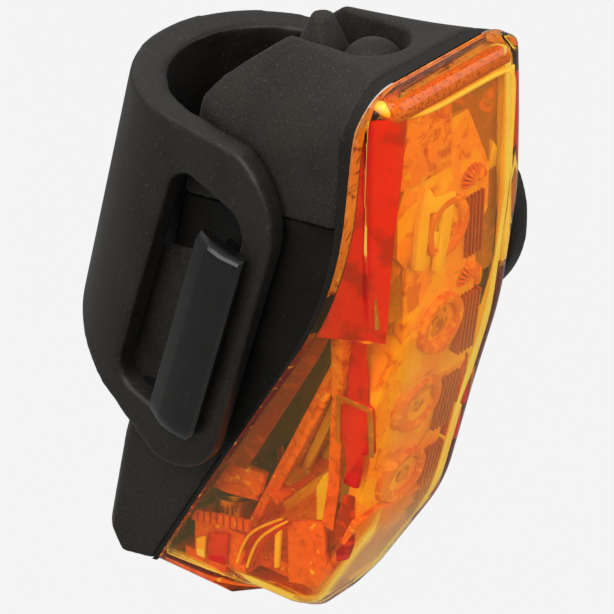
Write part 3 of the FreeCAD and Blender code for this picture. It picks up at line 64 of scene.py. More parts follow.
# Points closer than this are one point, in metres
MERGED = 1e-6
# Values of the uneven spread between which clouds of colour and of gloss come and go
CLOUD_LEVELS = (0.35, 0.65)
GLOSS_LEVELS = (0.3, 0.7)


class Body(Enum):
    """The CAD bodies that a piece can ride on."""

    LIGHT = "light"
    REAR_BUTTON = "rear_button"
    FRONT_BUTTON = "front_button"
    PORT_COVER = "port_cover"


class View(Enum):
    """The side from which the outline of a flat moulding is drawn."""

    SIDE = "side"
    FRONT = "front"


# Colours and shader nodes


def linear(code: str) -> tuple[float, float, float, float]:
    """Turn an sRGB hex colour into the linear colour that a socket takes.

    Args:
        code: colour such as "#3a3a38".

    Returns:
        Red, green, blue and alpha.
    """
    parts = [int(code[at:at + 2], 16) / 255 for at in (1, 3, 5)]
    red, green, blue = [
        part / 12.92 if part <= 0.04045 else ((part + 0.055) / 1.055) ** 2.4
        for part in parts
    ]
    return red, green, blue, 1.0


def add(tree: bpy.types.NodeTree, kind: str, settings: dict[str, Any] | None = None,
        links: dict[Any, bpy.types.NodeSocket] | None = None) -> bpy.types.Node:
    """Add a node with its settings and links.

    Args:
        tree: the node tree.
        kind: the node's type name.
        settings: values by attribute name, or by input name or number.
        links: output sockets by input name or number.

    Returns:
        The new node.
    """
    node = tree.nodes.new(kind)
    for name, value in (settings or {}).items():
        if isinstance(name, str) and hasattr(node, name) and name not in node.inputs:
            setattr(node, name, value)
        else:
            node.inputs[name].default_value = value
    for name, socket in (links or {}).items():
        tree.links.new(socket, node.inputs[name])
    return node


def new_material(name: str) -> tuple[bpy.types.Material, bpy.types.NodeTree, bpy.types.Node]:
    """Start a material with an output and no shader.

    Args:
        name: what the material really is.

    Returns:
        The material, its node tree and its output node.
    """
    material = bpy.data.materials.new(name)
    material.use_nodes = True
    tree = material.node_tree
    tree.nodes.clear()
    return material, tree, add(tree, "ShaderNodeOutputMaterial")


def unevenness(tree: bpy.types.NodeTree, grain_mm: float, detail: float = 2.0,
               distortion: float = 0.0) -> bpy.types.NodeSocket:
    """Spread an uneven value over a piece in its own coordinates.

    Args:
        tree: the material's node tree.
        grain_mm: size of one grain.
        detail: octaves of finer grain.
        distortion: how much the grains are drawn out into swirls.

    Returns:
        The value, about 0.5 on average.
    """
    place = add(tree, "ShaderNodeTexCoord")
    grains = add(tree, "ShaderNodeTexNoise",
                 {"Scale": 1 / (grain_mm * MM), "Detail": detail, "Distortion": distortion},
                 {"Vector": place.outputs["Object"]})
    return grains.outputs["Fac"]


def stained(tree: bpy.types.NodeTree, base: Any, stain: str, value: bpy.types.NodeSocket,
            levels: Pair, shares: Pair = (0.0, 1.0)) -> bpy.types.NodeSocket:
    """Stain a colour with a second one, more or less as a value rises.

    Args:
        tree: the material's node tree.
        base: a hex colour or a colour socket.
        stain: the second colour.
        value: the value that rules the stain.
        levels: the values between which the stain changes smoothly.
        shares: share of the stain below and above these levels.

    Returns:
        The stained colour.
    """
    share = add(tree, "ShaderNodeMapRange",
                {"interpolation_type": "SMOOTHSTEP", "From Min": levels[0],
                 "From Max": levels[1], "To Min": shares[0], "To Max": shares[1]},
                {"Value": value})
    plain = isinstance(base, str)
    mix = add(tree, "ShaderNodeMix",
              {"data_type": "RGBA", 7: linear(stain), **({6: linear(base)} if plain else {})},
              {0: share.outputs["Result"], **({} if plain else {6: base})})
    return mix.outputs[2]


@dataclass(frozen=True)
class Moulded:
    """An opaque moulded finish: flecks, clouds and veins of colour, and a grained skin.

    The foot is a second colour that the lower part of a piece fades to, between two levels.
    """

    name: str
    colour: str
    fleck: str
    flecks: Pair = (0.62, 0.72)
    grain_mm: float = 0.22
    bump_mm: float = 0.02
    bump_strength: float = 0.5
    roughness: Pair = (0.55, 0.7)
    specular: float = 0.5
    sheen: float = 0.0
    coat: float = 0.0
    coat_roughness: float = 0.08
    metallic: float = 0.0
    drift_mm: float = 9.0
    cloud: float = 0.18
    vein: str = ""
    vein_mm: float = 2.4
    veins: Pair = (0.52, 0.66)
    swirl: float = 1.6
    foot: str = ""
    foot_levels: Pair = (-4.0, 8.0)

    def build(self) -> bpy.types.Material:
        """Make the material.

        Returns:
            The finished material.
        """
        material, tree, out = new_material(self.name)
        grain = unevenness(tree, self.grain_mm)
        drift = unevenness(tree, self.drift_mm, 3.0)
        base = stained(tree, self.colour, self.fleck, drift, CLOUD_LEVELS, (0.0, self.cloud))
        if self.foot:
            place = add(tree, "ShaderNodeTexCoord")
            parts = add(tree, "ShaderNodeSeparateXYZ",
                        links={"Vector": place.outputs["Object"]})
            low, high = (level * MM for level in self.foot_levels)
            base = stained(tree, base, self.foot, parts.outputs["Z"], (low, high), (1.0, 0.0))
        if self.vein:
            swirl = unevenness(tree, self.vein_mm, 3.0, self.swirl)
            base = stained(tree, base, self.vein, swirl, self.veins)
        base = stained(tree, base, self.fleck, grain, self.flecks)
        gloss = add(tree, "ShaderNodeMapRange",
                    {"interpolation_type": "SMOOTHSTEP", "From Min": GLOSS_LEVELS[0],
                     "From Max": GLOSS_LEVELS[1], "To Min": self.roughness[0],
                     "To Max": self.roughness[1]}, {"Value": drift})
        bump = add(tree, "ShaderNodeBump",
                   {"Strength": self.bump_strength, "Distance": self.bump_mm * MM},
                   {"Height": grain})
        shader = add(tree, "ShaderNodeBsdfPrincipled",
                     {"Specular IOR Level": self.specular, "Sheen Weight": self.sheen,
                      "Coat Weight": self.coat, "Coat Roughness": self.coat_roughness,
                      "Metallic": self.metallic},
                     {"Base Color": base, "Roughness": gloss.outputs["Result"],
                      "Normal": bump.outputs["Normal"]})
        tree.links.new(shader.outputs["BSDF"], out.inputs["Surface"])
        return material


@dataclass(frozen=True)
class Clear:
    """A clear tinted finish that lets the lamps through to what stands behind it."""

    name: str
    colour: str
    deep: str
    passing: str = "#fff0d0"
    roughness: float = 0.03
    ior: float = 1.49
    wave_mm: float = 6.0
    bump_mm: float = 0.01
    bump_strength: float = 0.4
    transmission: float = 1.0
    specular: float = 0.5

    def build(self) -> bpy.types.Material:
        """Make the material.

        Returns:
            The finished material.
        """
        material, tree, out = new_material(self.name)
        drift = unevenness(tree, self.wave_mm)
        tint = stained(tree, self.colour, self.deep, drift, CLOUD_LEVELS)
        bump = add(tree, "ShaderNodeBump",
                   {"Strength": self.bump_strength, "Distance": self.bump_mm * MM},
                   {"Height": drift})
        shader = add(tree, "ShaderNodeBsdfPrincipled",
                     {"Roughness": self.roughness, "IOR": self.ior,
                      "Specular IOR Level": self.specular,
                      "Transmission Weight": self.transmission},
                     {"Base Color": tint, "Normal": bump.outputs["Normal"]})
        passing = add(tree, "ShaderNodeBsdfTransparent", {"Color": linear(self.passing)})
        path = add(tree, "ShaderNodeLightPath")
        mix = add(tree, "ShaderNodeMixShader",
                  links={0: path.outputs["Is Shadow Ray"], 1: shader.outputs["BSDF"],
                         2: passing.outputs["BSDF"]})
        tree.links.new(mix.outputs["Shader"], out.inputs["Surface"])
        return material


Finish = Moulded | Clear


@cache
def material_of(finish: Finish) -> bpy.types.Material:
    """Make a finish's material once, and give the same one to each piece that has it."""
    return finish.build()


# Finishes of this light

# Liquid silicone rubber: matt, with a fine eroded grain whose points of light are painted as pale
# flecks. The real grain is finer than a pixel, so it is drawn at 0.22 mm
BOOT_RUBBER = Moulded("grained silicone rubber", "#24201b", "#48423a", flecks=(0.54, 0.74),
                      bump_mm=0.08, roughness=(0.5, 0.66), specular=0.3, sheen=0.06)
# Silicone strap: a little browner and smoother, with dust in the grain
STRAP_RUBBER = Moulded("silicone strap rubber", "#181512", "#443e38", grain_mm=0.3,
                       roughness=(0.4, 0.52), specular=0.45, sheen=0.02)
# Glass filled nylon with a satin moulded skin
HOUSING_NYLON = Moulded("satin glass filled nylon", "#0e0c0a", "#2a2621", grain_mm=0.3,
                        bump_mm=0.04, roughness=(0.55, 0.68), specular=0.25)
# Soft seal rubber, smooth from a polished mould
SEAL_RUBBER = Moulded("nitrile seal rubber", "#1a1713", "#3b362f", grain_mm=0.3,
                      bump_mm=0.02, roughness=(0.5, 0.6), specular=0.3)
# Glossy nylon hooks, straight from a polished mould
HOOK_NYLON = Moulded("gloss nylon", "#100f0e", "#211f1d", grain_mm=0.6, bump_mm=0.006,
                     roughness=(0.16, 0.24), specular=0.6)
# Clear amber polycarbonate of the lens, polished, a little deeper in tint here and there
LENS_AMBER = Clear("clear amber polycarbonate", "#fdd24a", "#fbc23e", ior=1.42,
                   specular=0.3)
# Amber acrylic of the optics, moulded clear with a few flow marks
OPTIC_AMBER = Clear("clear amber acrylic", "#ffe9c4", "#ffdba0", roughness=0.06, wave_mm=3.0,
                    bump_mm=0.03, transmission=0.7)
# Opal amber acrylic of the optic plate, cloudy where the lamps' rings thin it
OPTIC_OPAL = Moulded("opal amber acrylic", "#ffba98", "#ffdc4a", flecks=(0.48, 0.56),
                     grain_mm=4.0, bump_mm=0.1, roughness=(0.15, 0.3), coat=0.4,
                     vein="#e08a66", vein_mm=3.2)
# Red acrylic of the reflector rails, moulded smooth, with slow darker clouds
RAIL_RED = Moulded("red reflector acrylic", "#d8082c", "#a80312", flecks=(0.5, 0.7),
                   grain_mm=3.0, bump_mm=0.01, roughness=(0.25, 0.35), specular=0.3)
# Orange opal polycarbonate of the carrier: red swirls painted as the refraction streaks seen
# through the lens, and deeper orange towards the foot
CARRIER_ORANGE = Moulded("orange opal polycarbonate", "#ffa468", "#ffd088", grain_mm=1.2,
                         bump_mm=0.04, roughness=(0.15, 0.3), coat=0.5, vein="#cc4a28",
                         veins=(0.46, 0.7), foot="#f07034", foot_levels=(-26.0, 0.0))
# The lens wall's end, with a painted glow that stands in for the light in the wall above, fading
# to dark red below
EDGE_PAINTED_GLOW = Moulded("lens wall end", "#e8935a", "#ffc98a", grain_mm=1.4, bump_mm=0.02,
                    roughness=(0.2, 0.3), vein="#a04a28", foot="#8a2a16")
# Dark red lining along the housing's edge, moulded smooth
LINING_RED = Moulded("dark red housing lining", "#7a120b", "#a8381c", flecks=(0.56, 0.7),
                     grain_mm=1.5, bump_mm=0.03, roughness=(0.3, 0.4), specular=0.3)
# Pale yellow acrylic of the light guides, polished; the same pale yellow paints the glow along the
# lens's inner edges
GUIDE_AND_GLOW_YELLOW = Moulded("yellow light guide acrylic", "#fff0b8", "#ffe79a", grain_mm=1.5,
                       bump_mm=0.01, roughness=(0.1, 0.2), coat=0.6)
# Metallised ribs that look violet through the amber
RIB_VIOLET = Moulded("metallised reflector", "#b8506c", "#943c58", grain_mm=0.8, bump_mm=0.01,
                     roughness=(0.2, 0.3), coat=0.5)
# Tan inlay of the slanting wall, eroded, with orange flow marks
INLAY_TAN = Moulded("eroded tan polycarbonate", "#ac8264", "#c08a5c", flecks=(0.5, 0.62),
                    grain_mm=2.5, bump_mm=0.05, roughness=(0.3, 0.45), specular=0.3,
                    vein="#e8944c", vein_mm=3.6)
# Deep orange collars round the lamps and the round optics, polished
RING_ORANGE = Moulded("polished orange polycarbonate", "#ea8048", "#ffb860",
                      flecks=(0.5, 0.6), grain_mm=1.2, bump_mm=0.02, roughness=(0.1, 0.2),
                      coat=0.5)
# Yellow lens of each lamp, moulded with brown ripples
EYE_YELLOW = Moulded("rippled yellow acrylic", "#e8b048", "#b0702c", flecks=(0.5, 0.6),
                     grain_mm=0.9, bump_mm=0.08, roughness=(0.1, 0.2), coat=0.5)
# Dark red acrylic of the lower panels
PANEL_RED = Moulded("dark red acrylic", "#9c0d10", "#d4311c", flecks=(0.52, 0.62),
                    grain_mm=1.5, bump_mm=0.03, roughness=(0.15, 0.25), specular=0.4)
# Brown orange bezel under the lens roof, eroded so that it doesn't dazzle
BEZEL_BROWN = Moulded("eroded brown polycarbonate", "#c8703f", "#a04a28", flecks=(0.5, 0.6),
                      grain_mm=0.35, bump_mm=0.05, roughness=(0.4, 0.5))
# Glass epoxy boards under a pale solder mask
BOARD_MASK = Moulded("solder masked glass epoxy", "#8a8066", "#c9bf9c", grain_mm=1.2,
                     roughness=(0.3, 0.4))
# White ceramic of the lamp bodies, glazed
LAMP_CERAMIC = Moulded("glazed ceramic", "#f4ecd8", "#fff8e6", grain_mm=1.0,
                       roughness=(0.15, 0.25))
# Black moulded epoxy of the chips
CHIP_EPOXY = Moulded("moulded chip epoxy", "#1d1c1b", "#3a3836", roughness=(0.5, 0.6))
# Zinc plated steel screws
SCREW_STEEL = Moulded("zinc plated steel", "#b9bcc0", "#8e9196", grain_mm=0.5, metallic=1.0,
                      roughness=(0.25, 0.4))
# Brass laser barrels, turned
BARREL_BRASS = Moulded("turned brass", "#d8a544", "#b7832e", grain_mm=0.4, metallic=1.0,
                       roughness=(0.2, 0.35))
# Dark red shrink film round the cell, with soft folds
CELL_FILM = Moulded("dark red shrink film", "#3c140c", "#5c2614", flecks=(0.6, 0.75),
                    grain_mm=3.0, bump_mm=0.1, roughness=(0.35, 0.5), specular=0.3)
# Silicone insulated leads
LEAD_RED = Moulded("red silicone insulation", "#c4281f", "#8f1c16", grain_mm=0.5,
                   roughness=(0.4, 0.5))
# Polyimide film of the ribbon cable
RIBBON_FILM = Moulded("polyimide film", "#d58a22", "#a86a16", grain_mm=0.6,
                      roughness=(0.2, 0.3))


# Mesh making


def linked(name: str, data: bpy.types.ID) -> bpy.types.Object:
    """Make an object from its data and link it to the scene.

    Args:
        name: the object's name.
        data: its mesh, curve, lamp or camera.

    Returns:
        The object.
    """
    piece = bpy.data.objects.new(name, data)
    bpy.context.scene.collection.objects.link(piece)
    return piece


def new_piece(name: str, points: Iterable[Sequence[float]], faces: Iterable[Sequence[int]],
              crease: float = FLAT_CREASE) -> bpy.types.Object:
    """Make an object from points in millimetres.

    Args:
        name: the piece's name.
        points: places in millimetres.
        faces: corner numbers of each face.
        crease: edges that bend more than this, in degrees, stay sharp.

    Returns:
        The object, at the origin with its place in its mesh.
    """
    mesh = bpy.data.meshes.new(name)
    mesh.from_pydata([tuple(value * MM for value in point) for point in points], [],
                     [tuple(face) for face in faces])
    piece = linked(name, mesh)
    tidy_mesh(mesh)
    shade(piece, crease)
    return piece


def between_rows(rows: int, wide: int, first: int = 0, closed: bool = False) -> list[Face]:
    """List the faces between rows of points.

    Args:
        rows: number of rows.
        wide: points in each row.
        first: number of the first point.
        closed: whether each row's last point joins its first.

    Returns:
        Corner numbers of each face.
    """
    found: list[Face] = []
    for row in range(rows - 1):
        base = first + row * wide
        for at in range(wide if closed else wide - 1):
            here, after = base + at, base + (at + 1) % wide
            found.append((here, after, after + wide, here + wide))
    return found


def between_skins(rows: int, wide: int, count: int) -> list[Face]:
    """List the faces that close both sides of a wall made of two skins.

    Args:
        rows: number of rows in each skin.
        wide: points in each row.
        count: points in the first skin.

    Returns:
        Corner numbers of each face.
    """
    return [(low, low + wide, low + wide + count, low + count)
            for row in range(rows - 1) for low in (row * wide, row * wide + wide - 1)]


def tidy_mesh(mesh: bpy.types.Mesh, flatten: float = 0.0) -> None:
    """Merge doubled points, join flat faces and turn every face outwards.

    Args:
        mesh: the mesh to change.
        flatten: faces that meet at less than this angle, in degrees, are joined.
    """
    work = bmesh.new()
    work.from_mesh(mesh)
    bmesh.ops.remove_doubles(work, verts=work.verts, dist=MERGED)
    if flatten:
        bmesh.ops.dissolve_limit(work, angle_limit=math.radians(flatten), verts=work.verts,
                                 edges=work.edges)
    bmesh.ops.recalc_face_normals(work, faces=work.faces)
    work.to_mesh(mesh)
    work.free()


def shade(piece: bpy.types.Object, crease: float) -> None:
    """Shade smooth, with sharp edges where the surface bends a lot.

    Args:
        piece: the object to shade.
        crease: the least bend of a sharp edge, in degrees.
    """
    piece.data.polygons.foreach_set("use_smooth", [True] * len(piece.data.polygons))
    piece.data.set_sharp_from_angle(angle=math.radians(crease))


def set_modifiers(piece: bpy.types.Object) -> None:
    """Turn the modified shape into the piece's plain mesh.

    Args:
        piece: the object whose modifiers are used up.
    """
    shown = piece.evaluated_get(bpy.context.evaluated_depsgraph_get())
    finished = bpy.data.meshes.new_from_object(shown)
    piece.modifiers.clear()
    piece.data = finished
    finished.name = piece.name


def modify(piece: bpy.types.Object, kind: str, **settings: Any) -> bpy.types.Modifier:
    """Add a modifier with its settings.

    Args:
        piece: the object.
        kind: the modifier's type name.
        settings: its values by name.

    Returns:
        The modifier.
    """
    modifier = piece.modifiers.new(kind.title(), kind)
    for name, value in settings.items():
        setattr(modifier, name, value)
    return modifier


def copied(node: str, name: str, flatten: float) -> bpy.types.Object:
    """Copy a CAD node's shape into a new piece with its points merged.

    Args:
        node: the CAD node.
        name: the new piece's name.
        flatten: faces that meet at less than this angle, in degrees, are joined.

    Returns:
        The new object.
    """
    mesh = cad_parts[node].data.copy()
    mesh.name = name
    mesh.materials.clear()
    tidy_mesh(mesh, flatten)
    return linked(name, mesh)


def softened(node: str, name: str, voxel: float, rounds: int) -> bpy.types.Object:
    """Copy a CAD node as one soft skin whose edges are rounded.

    Args:
        node: the CAD node.
        name: the new piece's name.
        voxel: size of the skin's faces, in millimetres.
        rounds: how often the skin is smoothed.

    Returns:
        The new object.
    """
    piece = copied(node, name, flatten=0.0)
    modify(piece, "REMESH", mode="VOXEL", voxel_size=voxel * MM, use_smooth_shade=True)
    modify(piece, "SMOOTH", factor=0.5, iterations=rounds)
    set_modifiers(piece)
    shade(piece, 180.0)
    return piece


def extruded(name: str, outline: Sequence[Point], travel: Point,
             rounding: float) -> bpy.types.Object:
    """Push a flat outline along a vector and round its edges.

    Args:
        name: the piece's name.
        outline: the outline's corners.
        travel: how far and where to it is pushed.
        rounding: width of the rounded edges, in millimetres.

    Returns:
        The object.
    """
    count = len(outline)
    moved = [tuple(a + b for a, b in zip(point, travel)) for point in outline]
    sides = [(at, (at + 1) % count, (at + 1) % count + count, at + count)
             for at in range(count)]
    faces = [tuple(range(count)), tuple(range(2 * count - 1, count - 1, -1)), *sides]
    piece = new_piece(name, [*outline, *moved], faces)
    if rounding:
        modify(piece, "BEVEL", width=rounding * MM, segments=ROUNDING_FACES,
               limit_method="ANGLE", angle_limit=math.radians(ROUNDED_BEND),
               use_clamp_overlap=True)
        set_modifiers(piece)
        shade(piece, FLAT_CREASE)
    return piece


def slab(name: str, outline: Sequence[Pair], low: float, high: float,
         rounding: float) -> bpy.types.Object:
    """Make a slab from an outline seen from the side, between two distances across.

    Args:
        name: the piece's name.
        outline: its corners as (Y, Z).
        low: its lower X.
        high: its higher X.
        rounding: width of the rounded edges, in millimetres.

    Returns:
        The object.
    """
    return extruded(name, [(low, y, z) for y, z in outline], (high - low, 0, 0), rounding)


def plate(name: str, outline: Sequence[Pair], low: float, high: float,
          rounding: float) -> bpy.types.Object:
    """Make a plate from an outline seen from the front, between two distances ahead.

    Args:
        name: the piece's name.
        outline: its corners as (X, Z).
        low: its lower Y.
        high: its higher Y.
        rounding: width of the rounded edges, in millimetres.

    Returns:
        The object.
    """
    return extruded(name, [(x, low, z) for x, z in outline], (0, high - low, 0), rounding)


def revolved(name: str, profile: Sequence[Pair], sides: int = 48) -> bpy.types.Object:
    """Turn a closed profile about Z.

    Args:
        name: the piece's name.
        profile: corners as (radius, height).
        sides: faces round the piece.

    Returns:
        The object.
    """
    points: list[Point] = []
    for turn in np.linspace(0, 2 * math.pi, sides, endpoint=False):
        points += [(radius * math.cos(turn), radius * math.sin(turn), height)
                   for radius, height in profile]
    wide = len(profile)
    faces = []
    for side in range(sides):
        here, there = side * wide, (side + 1) % sides * wide
        for at in range(wide):
            after = (at + 1) % wide
            faces.append((here + at, there + at, there + after, here + after))
    return new_piece(name, points, faces, crease=ROUND_CREASE)


def facing(piece: bpy.types.Object, place: Point, lean: float,
           turn: float = 0.0) -> bpy.types.Object:
    """Set a piece made about Z down at a place, with its Z pointing ahead and leaning down.

    Args:
        piece: the object, made at the origin.
        place: where its origin goes.
        lean: how far it points below the horizon, in degrees.
        turn: its turn about its own axis, in degrees.

    Returns:
        The same object, with the place in its mesh.
    """
    move = Matrix.Translation(Vector(place) * MM)
    point = Matrix.Rotation(math.radians(90.0 + lean), 4, "X")
    spin = Matrix.Rotation(math.radians(turn), 4, "Z")
    piece.data.transform(move @ point @ spin)
    return piece


def bead(name: str, points: Sequence[Point], radius: float) -> bpy.types.Object:
    """Lay a smooth round bead along a line of points.

    Args:
        name: the piece's name.
        points: the points that it follows.
        radius: its radius.

    Returns:
        The object.
    """
    curve = bpy.data.curves.new(name, "CURVE")
    curve.dimensions = "3D"
    curve.bevel_depth = radius * MM
    curve.bevel_resolution = BEAD_QUARTER
    curve.use_fill_caps = True
    line = curve.splines.new("NURBS")
    line.points.add(len(points) - 1)
    for spot, point in zip(line.points, points):
        spot.co = (*(value * MM for value in point), 1.0)
    line.order_u = 3
    line.use_endpoint_u = True
    line.resolution_u = BEAD_STEPS
    holder = linked(name, curve)
    shown = holder.evaluated_get(bpy.context.evaluated_depsgraph_get())
    mesh = bpy.data.meshes.new_from_object(shown)
    bpy.data.objects.remove(holder)
    bpy.data.curves.remove(curve)
    piece = linked(name, mesh)
    tidy_mesh(mesh)
    shade(piece, ROUND_CREASE)
    return piece


def mirrored(piece: bpy.types.Object) -> bpy.types.Object:
    """Mirror a piece's mesh from left to right and turn its faces outwards again.

    Args:
        piece: the object.

    Returns:
        The same object.
    """
    piece.data.transform(Matrix.Scale(-1, 4, (1, 0, 0)))
    tidy_mesh(piece.data)
    shade(piece, ROUND_CREASE)
    return piece


def repeated(name: str, item: bpy.types.Object, count: int, step: Point, turn: float,
             finish: Finish) -> bpy.types.Object:
    """Repeat a small shape in a row or a fan with Geometry Nodes.

    Args:
        name: the piece's name.
        item: the shape, at the origin; it is used up.
        count: number of copies.
        step: the way from one copy to the next.
        turn: the turn about Z from one copy to the next, in degrees.
        finish: the finish of every copy.

    Returns:
        The object, as a plain mesh.
    """
    tree = bpy.data.node_groups.new(name, "GeometryNodeTree")
    face = tree.interface
    for label, kind in (("Geometry", "NodeSocketGeometry"), ("Count", "NodeSocketInt"),
                        ("Step", "NodeSocketVector"), ("Turn", "NodeSocketFloat")):
        face.new_socket(label, in_out="INPUT", socket_type=kind)
    face.new_socket("Geometry", in_out="OUTPUT", socket_type="NodeSocketGeometry")
    given = add(tree, "NodeGroupInput")
    line = add(tree, "GeometryNodeMeshLine", {"mode": "OFFSET"},
               {"Count": given.outputs["Count"], "Offset": given.outputs["Step"]})
    number = add(tree, "GeometryNodeInputIndex")
    angle = add(tree, "ShaderNodeMath", {"operation": "MULTIPLY"},
                {0: number.outputs[0], 1: given.outputs["Turn"]})
    euler = add(tree, "ShaderNodeCombineXYZ", links={"Z": angle.outputs[0]})
    spin = add(tree, "FunctionNodeEulerToRotation", links={0: euler.outputs[0]})
    copies = add(tree, "GeometryNodeInstanceOnPoints",
                 links={"Points": line.outputs[0], "Instance": given.outputs["Geometry"],
                        "Rotation": spin.outputs[0]})
    real = add(tree, "GeometryNodeRealizeInstances", links={0: copies.outputs[0]})
    dressed = add(tree, "GeometryNodeSetMaterial", {"Material": material_of(finish)},
                  {"Geometry": real.outputs[0]})
    add(tree, "NodeGroupOutput", links={0: dressed.outputs[0]})
    item.name = name
    rule = item.modifiers.new("Repeat", "NODES")
    rule.node_group = tree
    values = {"Count": count, "Step": [value * MM for value in step],
              "Turn": math.radians(turn)}
    for socket in face.items_tree:
        if socket.in_out == "INPUT" and socket.name in values:
            rule[socket.identifier] = values[socket.name]
    set_modifiers(item)
    shade(item, FLAT_CREASE)
    return item


def put(piece: bpy.types.Object, finish: Finish,
        body: Body = Body.LIGHT, stands_for: Sequence[str] = ()) -> bpy.types.Object:
    """Dress a piece, put it on its body and hide the CAD nodes that it replaces.

    Args:
        piece: the object.
        finish: its finish.
        body: the body that it rides on.
        stands_for: CAD nodes that it replaces.

    Returns:
        The same object.
    """
    piece.data.materials.clear()
    piece.data.materials.append(material_of(finish))
    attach(piece, body.value)
    if stands_for:
        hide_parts(*stands_for)
    LOG.info("%s: %d faces on %s", piece.name, len(piece.data.polygons), body.value)
    return piece


def dress_node(node: str, finish: Finish) -> None:
    """Give a CAD node that stays in view its finish.

    Args:
        node: the CAD node.
        finish: the finish of all its faces.
    """
    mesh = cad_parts[node].data
    mesh.materials.clear()
    mesh.materials.append(material_of(finish))
    mesh.polygons.foreach_set("material_index", [0] * len(mesh.polygons))


# Outer form


@dataclass(frozen=True)
class Station:
    """Reach and half widths of the outer form at one level."""

    level: float
    front: float
    nose: float
    side: float
    corner: float = 3.5
    cheek: Pair | None = None
    hip: Pair | None = None

    def runs(self, parting: float) -> list[Pair]:
        """List the side's corners from the parting line to the front corner.

        Args:
            parting: Y of the parting line at this level.

        Returns:
            Four points, across and ahead.
        """
        start = (self.nose, self.corner - self.front)
        end = (self.side, parting)
        if self.cheek and self.hip:
            return [end, self.hip, self.cheek, start]
        between = [tuple(a + share * (b - a) for a, b in zip(end, start))
                   for share in (1 / 3, 2 / 3)]
        return [end, *between, start]


@dataclass
class OuterForm:
    """The rounded outer form that lens and housing share."""

    stations: tuple[Station, ...] = (
        Station(-41.8, 14.1, 3.2, 7.6, 1.4, (3.2, -7.8), (7.6, -4.3)),
        Station(-38.8, 16.0, 7.9, 8.5),
        Station(-25.5, 24.3, 8.6, 10.8),
        Station(-11.9, 27.2, 9.7, 12.7),
        Station(-0.4, 30.2, 10.3, 14.0),
        Station(12.6, 30.8, 12.2, 14.0),
        Station(23.0, 30.8, 12.1, 13.9),
        Station(34.0, 30.5, 11.9, 13.6),
    )
    parting_top: float = 27.6
    parting_knee: Pair = (-25.0, 7.0)
    parting_foot: float = 6.9
    knee_low: float = -2.3
    knee_high: float = 18.0
    roof_level: float = 31.6
    roof_flat: float = 7.5
    roof_side: float = 14.1
    roof_drop: float = 6.4
    roof_blend: float = 0.5
    brow: float = 2.2
    least_brow: float = 0.6
    foot_rise: float = 0.9
    foot_trim: float = 0.7
    softening: float = 3.0
    least_softening: float = 0.01
    softening_steps: int = 7
    corner_loss: float = 1.0
    least_corner: float = 0.1
    wall: float = 1.5
    foot_rings: int = 5
    wall_rings: int = 90
    brow_rings: int = 8
    side_steps: int = 5
    corner_steps: int = 9
    front_steps: int = 6

    def parting(self, level: float) -> float:
        """Give the parting line's Y, rounded at its bend.

        Args:
            level: the level at which it is asked.

        Returns:
            How far back the line lies.
        """
        knee, at = self.parting_knee
        top = (-self.parting_top - knee) / (self.stations[-1].level - at)
        low = (knee - self.parting_foot) / (at - self.stations[0].level)
        if level <= self.knee_low:
            return knee + (level - at) * low
        if level >= self.knee_high:
            return knee + (level - at) * top
        share = (level - self.knee_low) / (self.knee_high - self.knee_low)
        start = knee + (self.knee_low - at) * low
        end = knee + (self.knee_high - at) * top
        return (1 - share) ** 2 * start + 2 * share * (1 - share) * knee + share ** 2 * end

    def levels(self, inset: float) -> list[float]:
        """List the levels of the rings, close together where the form is round.

        Args:
            inset: how far inside the outer form the rings lie.

        Returns:
            Levels from the foot to the roof.
        """
        foot = self.stations[0].level + inset
        top = self.roof_level - inset
        low = [foot + self.foot_rise * (1 - math.cos(turn))
               for turn in np.linspace(0, math.pi / 2, self.foot_rings)]
        high = [top - self.brow * (1 - math.sin(turn))
                for turn in np.linspace(0, math.pi / 2, self.brow_rings)]
        middle = np.linspace(low[-1], high[0], self.wall_rings)[1:-1]
        return [*low, *middle, *high]

    def blurred(self, level: float, pick: Callable[[Station], float]) -> float:
        """Give a station value at a level, with the bends between stations softened.

        Args:
            level: the level at which it is asked.
            pick: takes the value from a station.

        Returns:
            The softened value.
        """
        places = [station.level for station in self.stations]
        values = [pick(station) for station in self.stations]
        reach = min(self.softening, max(level - places[1], 0.0) + self.least_softening)
        spots = level + np.linspace(-reach, reach, self.softening_steps)
        return float(np.mean(np.interp(spots, places, values)))

    def half_ring(self, level: float, inset: float) -> list[Pair]:
        """Outline the left half of the form ahead of the parting line.

        Args:
            level: the ring's level.
            inset: how far inside the outer form the ring lies.

        Returns:
            Points (across, ahead) from the parting line to the middle of the front.
        """
        top = self.roof_level - inset
        brow = max(self.brow - inset, self.least_brow)
        lift = max(level - (top - brow), 0.0) / brow
        tuck = brow * (1 - math.sqrt(max(1 - lift * lift, 0.0)))
        foot = self.stations[0].level + inset
        sink = max(foot + self.foot_rise - level, 0.0) / self.foot_rise
        shrink = inset + self.foot_trim * (1 - math.sqrt(max(1 - sink * sink, 0.0)))
        corner = self.blurred(level, lambda s: s.corner) - min(inset, self.corner_loss)
        parting = self.parting(level)
        runs = []
        for number in range(4):
            across = self.blurred(level, lambda s: s.runs(parting)[number][0]) - shrink
            ahead = self.blurred(level, lambda s: s.runs(parting)[number][1])
            runs.append([across, ahead])
        front = -self.blurred(level, lambda s: s.front) + shrink + tuck
        depth = min(corner, max(parting - front, self.least_corner))
        runs[0][1] = parting
        runs[3][1] = front + depth
        rise = max(level - (top - self.roof_drop), 0.0) / self.roof_drop
        roof = self.roof_flat + (self.roof_side - inset - self.roof_flat) * math.sqrt(
            max(1 - rise * rise, 0.0))
        ring = []
        for (x0, y0), (x1, y1) in zip(runs, runs[1:]):
            for share in np.linspace(0, 1, self.side_steps + 1)[:-1]:
                ring.append((x0 + share * (x1 - x0), y0 + share * (y1 - y0)))
        nose = runs[3][0]
        for turn in np.linspace(0, math.pi / 2, self.corner_steps):
            ring.append((nose - corner + corner * math.cos(turn),
                         front + depth - depth * math.sin(turn)))
        for share in np.linspace(1, 0, self.front_steps + 1)[1:]:
            ring.append(((nose - corner) * share, front))
        return [(self.under_roof(x, roof), y) for x, y in ring]

